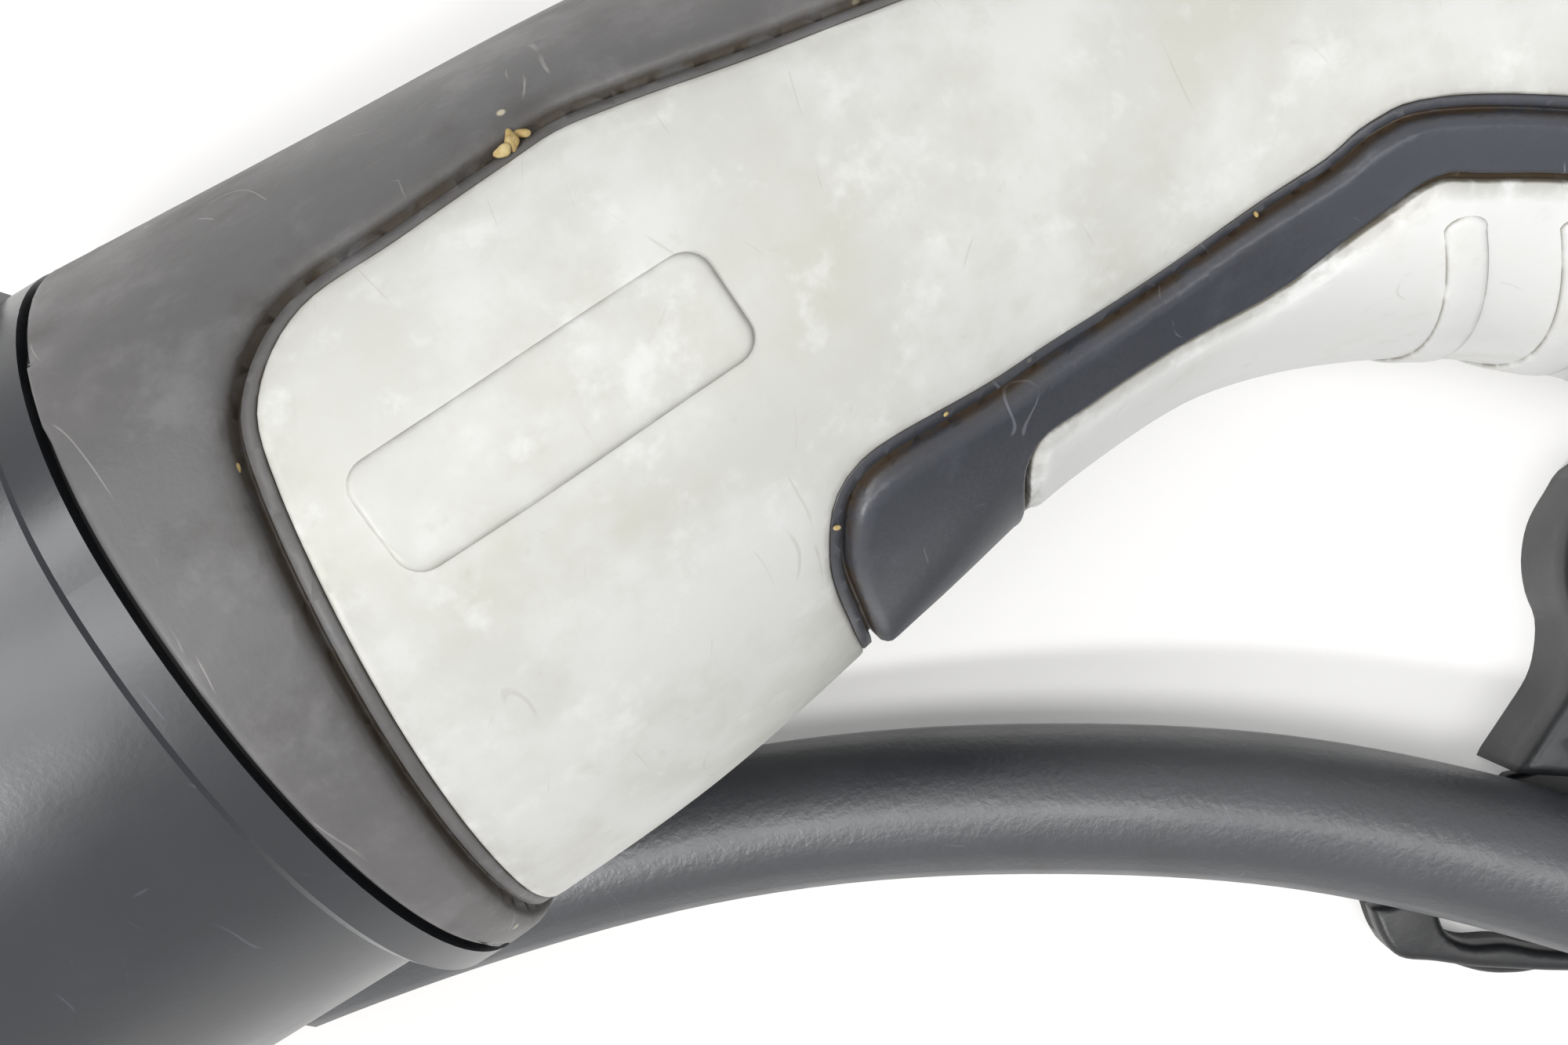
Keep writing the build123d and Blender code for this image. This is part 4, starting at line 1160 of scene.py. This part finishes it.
@dataclass(frozen=True)
class CableStrap:
    """The black rubber strap under the cable: a thin web, a thick scalloped lobe with a rim, and a hook."""

    lobe: tuple[Point2, ...] = (
        (69.9, -64.6), (70.5, -64.2), (74.0, -62.5), (76.9, -61.0), (78.7, -59.3), (80.2, -57.0),
        (80.7, -54.6), (81.8, -52.1), (83.8, -49.7), (86.4, -48.1), (89.5, -47.0), (96.0, -48.5),
        (101.5, -56.0), (101.0, -66.0), (95.0, -73.5), (86.0, -75.0), (77.0, -69.5), (70.6, -65.2),
    )
    hook_outer: tuple[Point2, ...] = (
        (54.8, -70.0), (54.3, -72.6), (54.7, -74.9), (57.2, -76.9), (60.0, -80.0), (62.6, -81.7),
        (65.8, -83.1), (70.5, -86.4),
    )
    hook_back: tuple[Point2, ...] = (
        (54.8, -70.0), (54.3, -72.6), (54.7, -74.9), (57.0, -76.7), (59.6, -78.8), (61.8, -80.3),
        (64.5, -82.1), (67.8, -84.2), (70.5, -86.4),
    )
    hook_inner: tuple[Point2, ...] = (
        (72.8, -84.6), (68.2, -82.3), (65.2, -80.4), (62.9, -78.4), (60.4, -77.0), (59.2, -75.4),
        (59.3, -73.6), (60.4, -71.6),
    )
    web: tuple[Point2, ...] = (
        (55.2, -71.0), (58.5, -69.5), (71.0, -67.0), (80.0, -70.0), (88.0, -76.0), (88.0, -87.8),
        (73.0, -89.6), (70.7, -86.4), (72.6, -84.2), (71.0, -79.0), (66.0, -73.5), (60.2, -71.9),
    )

    hook_step: float = 0.6  # spacing of the hook's points
    cells: float = 6.0  # width of the grid

    def hook(self, back: Outline) -> list[Point2]:
        """The hook's outline, from its back round to the inner side."""
        step = self.hook_step
        outer, inner = curve_through(back, step), curve_through(self.hook_inner, step)
        end, tip = straight(outer[-1], inner[0], step), straight(inner[-1], outer[0], step)
        return outer + end[1:-1] + inner + tip[1:-1]

    def build(self) -> None:
        """Moulds the strap in one piece."""
        rim = (Step(1.0, 9.0), Step(0.45, 8.55), Step(0.5, 8.3))
        slabs = (
            (curve_through(self.lobe, 0.8, closed=True), round_over(9.0, 1.0) + rim),
            (self.hook(self.hook_outer), round_over(2.6, 0.8, 4)),
            (self.hook(self.hook_back), round_over(4.0, 0.8, 4)),
            (self.web, round_over(1.8, 0.5, 3)),
        )
        bm = joined([Skin(outline, edge, 0.0, self.cells).mesh() for outline, edge in slabs])
        bmesh.ops.recalc_face_normals(bm, faces=bm.faces)
        placing = Matrix.Scale(MM, 4) @ Matrix.Translation((LIE.shift[0], LIE.shift[1], 0.0))
        finished_piece("cable_strap_moulding", bm, STRAP_RUBBER.material(), ["cable_strap"],
                       placing)


# ---- nose, seal and inside
@dataclass(frozen=True)
class CadFinishes:
    """Finishes of the CAD nodes that keep their own shape."""

    nodes: tuple[tuple[Finish, tuple[str, ...]], ...] = (
        (SATIN_NOSE, ("nose_sleeve",)),
        (SEAL_RUBBER, ("flange_seal", "gland_seal")),
        (SCREW_STEEL, ("housing_screws", "retainer_screws", "clamp_screws", "ferrules")),
        (CARRIER_PLASTIC, ("contact_carrier", "contact_retainer")),
        (RESISTOR_BODY, ("coding_resistor",)),
        (CAP_PLASTIC, ("end_cap", "cable_clamp_upper", "cable_clamp_lower")),
        (SLEEVE_RUBBER, ("bend_sleeve",)),
        (CABLE_JACKET, ("cable_sheath",)),
    )
    contacts: tuple[str, ...] = ("pe", "l1", "n", "l2", "l3", "cp", "pp")

    def dress(self) -> None:
        """Gives every remaining node its material."""
        cores = [(core.finish(), (prefix + core.name.lower(),))
                 for core in CoreColour for prefix in ("conductor_", "open_core_")]
        contacts = (CONTACT_METAL, tuple("contact_" + name for name in self.contacts))
        for finish, names in (*self.nodes, *cores, contacts):
            material = finish.material()
            for name in names:
                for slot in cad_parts[name].material_slots:
                    slot.material = material
                log.info("%s: %s", name, finish.name)


# ---- the cable
@dataclass(frozen=True)
class LooseCable:
    """The free cable, from the bend sleeve through its coil and past the nose to the open end."""

    coil_at: Point2 = (128.0, -214.0)
    coil_radius: float = 62.0
    coil_turns: float = 7.58
    start: Point3 = (160.7, -108.0, 19.9)
    corner: Point3 = (176.2, -130.1, 18.9)
    lead: tuple[Point3, ...] = ((185.6, -154.0, 13.0), (193.4, -184.0, 7.5))
    run: tuple[Point3, ...] = (
        (81.0, -159.2, 42.9), (90.3, -132.8, 32.0), (89.8, -108.8, 20.5), (81.0, -86.5, 12.4),
        (62.8, -66.2, 8.9), (46.0, -52.3, 7.8), (18.3, -36.8, 6.2), (-9.9, -28.2, 6.2), (-26.0, -25.6, 6.2),
    )

    points_per_turn: int = 16
    last_turn: int = 7
    crossing: float = 0.2  # the last part of a turn, in which the cable moves over to the next

    def seat(self, turn: int) -> tuple[int, int]:
        """Column and layer of a turn: out, in, in, out and so on from the floor up."""
        layer, odd = divmod(turn, 2)
        return ((1, -1) if layer % 2 == 0 else (-1, 1))[odd], layer

    def coil(self) -> list[Point3]:
        """Lays turns beside and on each other.

        Returns:
            The points of the coil, over the floor.
        """
        out = []
        for k in range(round(self.coil_turns * self.points_per_turn) + 1):
            turn = k / self.points_per_turn
            whole = min(int(turn), self.last_turn)
            column, layer = self.seat(whole)
            height = CABLE / 2 + CABLE * layer
            if whole < self.last_turn:
                share = min(max((turn - whole - (1 - self.crossing)) / self.crossing, 0.0), 1.0)
                next_column, next_layer = self.seat(whole + 1)
                column += (next_column - column) * share
                height += CABLE * (next_layer - layer) * share
            angle = -2 * math.pi * turn
            radius = self.coil_radius + column * CABLE / 2
            x, y = self.coil_at
            out.append((x + radius * math.cos(angle), y + radius * math.sin(angle), height))
        return out

    def build(self) -> None:
        """Lays the cable as one smooth curve."""
        route = [self.start, self.corner, *self.lead, *self.coil(), *self.run]
        data = bpy.data.curves.new("charging_cable", "CURVE")
        data.dimensions = "3D"
        data.bevel_depth = CABLE / 2 * MM
        data.bevel_resolution = 7
        data.use_fill_caps = True
        data.resolution_u = 10
        spline = data.splines.new("NURBS")
        spline.points.add(len(route) - 1)
        for point, place in zip(spline.points, route):
            point.co = (*LIE.floor_point(place), 1.0)
        spline.order_u = 3
        spline.use_endpoint_u = True
        cable = added("charging_cable", data)
        data.materials.append(CABLE_JACKET.material())
        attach(cable, BODY)
        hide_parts("cable_lead", "cable_coil", "cable_run")
        log.info("charging_cable: %d route points", len(route))


# ---- surroundings
def seen_directly(tree: Tree) -> Socket:
    """Tells looks from light.

    Args:
        tree: the nodes of the floor or the world.

    Returns:
        1 where the camera looks, straight, by a reflection or through something clear, and 0 for light.
    """
    rays = node(tree, "ShaderNodeLightPath").outputs
    seen = rays["Is Camera Ray"]
    for other in ("Is Glossy Ray", "Is Transmission Ray"):
        seen = node(tree, MATH, {"operation": "MAXIMUM"}, {0: seen, 1: rays[other]}).outputs[0]
    return seen


def aimed_down(at: Point3) -> Matrix:
    """The turn of a lamp that hangs at a place and points at the connector."""
    return (-Vector(at)).to_track_quat("-Z", "Y").to_matrix().to_4x4()


@dataclass(frozen=True)
class Studio:
    """Pale floor, soft lamps and the camera above the connector."""

    camera_at: Point3 = (29.64, -15.84, 109.87)
    right: Point3 = (0.85103, -0.52503, 0.00966)
    down: Point3 = (-0.52499, -0.85109, -0.00596)
    lens: float = 36.0
    floor_half: float = 3.0
    floor_glow: float = 0.2
    floor_whitens: Point2 = (0.4, 1.0)  # m from the connector: from where on, and where it is plain white
    world: float = 0.28  # strength of the world's light
    key_at: Point3 = (-0.6, -0.2, 0.76)
    key_size: float = 0.12
    key_power: float = 4.3
    strip_at: Point3 = (-0.2, -0.06, 1.1)
    strip_size: Point2 = (1.4, 0.34)
    strip_power: float = 7.2
    window_at: Point3 = (-0.36, 0.6, 1.0)
    window_size: Point2 = (0.6, 0.36)
    window_power: float = 3.6

    def camera(self) -> None:
        """Places the camera over the left flank."""
        place = LIE.matrix()
        turn = place.to_3x3() * (1 / MM)
        right, down = turn @ Vector(self.right), turn @ Vector(self.down)
        data = bpy.data.cameras.new("camera")
        data.lens = self.lens
        data.sensor_width = 36.0
        data.clip_start = 0.005
        camera = added("camera", data)
        aim = Matrix((right, -down, right.cross(-down))).transposed().to_4x4()
        camera.matrix_world = Matrix.Translation(place @ Vector(self.camera_at)) @ aim
        bpy.context.scene.camera = camera

    def floor(self) -> None:
        """A wide pale floor. The camera sees it near white, and the shadows on it stay."""
        bm = bmesh.new()
        bmesh.ops.create_grid(bm, x_segments=1, y_segments=1, size=self.floor_half)
        data = bpy.data.meshes.new("floor")
        bm.to_mesh(data)
        bm.free()
        floor = added("floor", data)
        material = bpy.data.materials.new("floor_white")
        material.use_nodes = True
        tree = material.node_tree
        shader = tree.nodes["Principled BSDF"]
        shader.inputs["Base Color"].default_value = colour("#fbfaf8")
        shader.inputs["Roughness"].default_value = 0.9
        where = node(tree, "ShaderNodeTexCoord").outputs["Object"]
        far = node(tree, "ShaderNodeVectorMath", {"operation": "LENGTH"}, {0: where}).outputs["Value"]
        near, white = self.floor_whitens
        spread = node(tree, MAP_RANGE, {"From Min": near, "From Max": white, "To Min": self.floor_glow},
                      {"Value": far}).outputs["Result"]
        share = node(tree, MATH, {"operation": "MULTIPLY"}, {0: seen_directly(tree), 1: spread})
        glow = node(tree, "ShaderNodeEmission", {"Color": (1.0, 1.0, 1.0, 1.0), "Strength": 1.0})
        both = node(tree, "ShaderNodeMixShader", None,
                    {0: share.outputs[0], 1: shader.outputs[0], 2: glow.outputs[0]})
        tree.links.new(both.outputs[0], tree.nodes["Material Output"].inputs["Surface"])
        data.materials.append(material)

    def lamp(self, name: str, at: Point3, size: Point2, power: float, aim: Matrix) -> None:
        """Hangs one rectangular lamp.

        Args:
            name: its name.
            at: where it hangs.
            size: its length and width.
            power: watts.
            aim: its turn.
        """
        data = bpy.data.lights.new(name, "AREA")
        data.shape = "RECTANGLE"
        data.size, data.size_y = size
        data.energy = power
        added(name, data).matrix_world = Matrix.Translation(at) @ aim

    def lamps(self) -> None:
        """A small key lamp beyond the nose, a window lamp, a long strip overhead and a pale world."""
        square = (self.key_size, self.key_size)
        self.lamp("key", self.key_at, square, self.key_power, aimed_down(self.key_at))
        self.lamp("window", self.window_at, self.window_size, self.window_power, aimed_down(self.window_at))
        along = Matrix.Rotation(math.atan2(self.right[1], self.right[0]), 4, "Z")
        self.lamp("strip", self.strip_at, self.strip_size, self.strip_power, along)
        world = bpy.data.worlds.new("studio")
        bpy.context.scene.world = world
        world.use_nodes = True
        background = world.node_tree.nodes["Background"]
        background.inputs["Color"].default_value = colour("#ffffff")
        level = node(world.node_tree, MAP_RANGE, {"To Min": self.world, "To Max": 1.0},
                     {"Value": seen_directly(world.node_tree)}).outputs["Result"]
        world.node_tree.links.new(level, background.inputs["Strength"])

    def build(self) -> None:
        """Sets everything round the connector."""
        bpy.context.scene.view_settings.view_transform = "Standard"
        self.camera()
        self.floor()
        self.lamps()


def main() -> None:
    """Builds the dressed connector, its cable and its surroundings."""
    logging.basicConfig(level=logging.INFO, format="%(name)s %(message)s")
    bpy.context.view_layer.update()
    Studio().build()
    LooseCable().build()
    OuterMouldings().build()
    Crumbs().build()
    CableStrap().build()
    CadFinishes().dress()


if __name__ == "__main__":
    main()
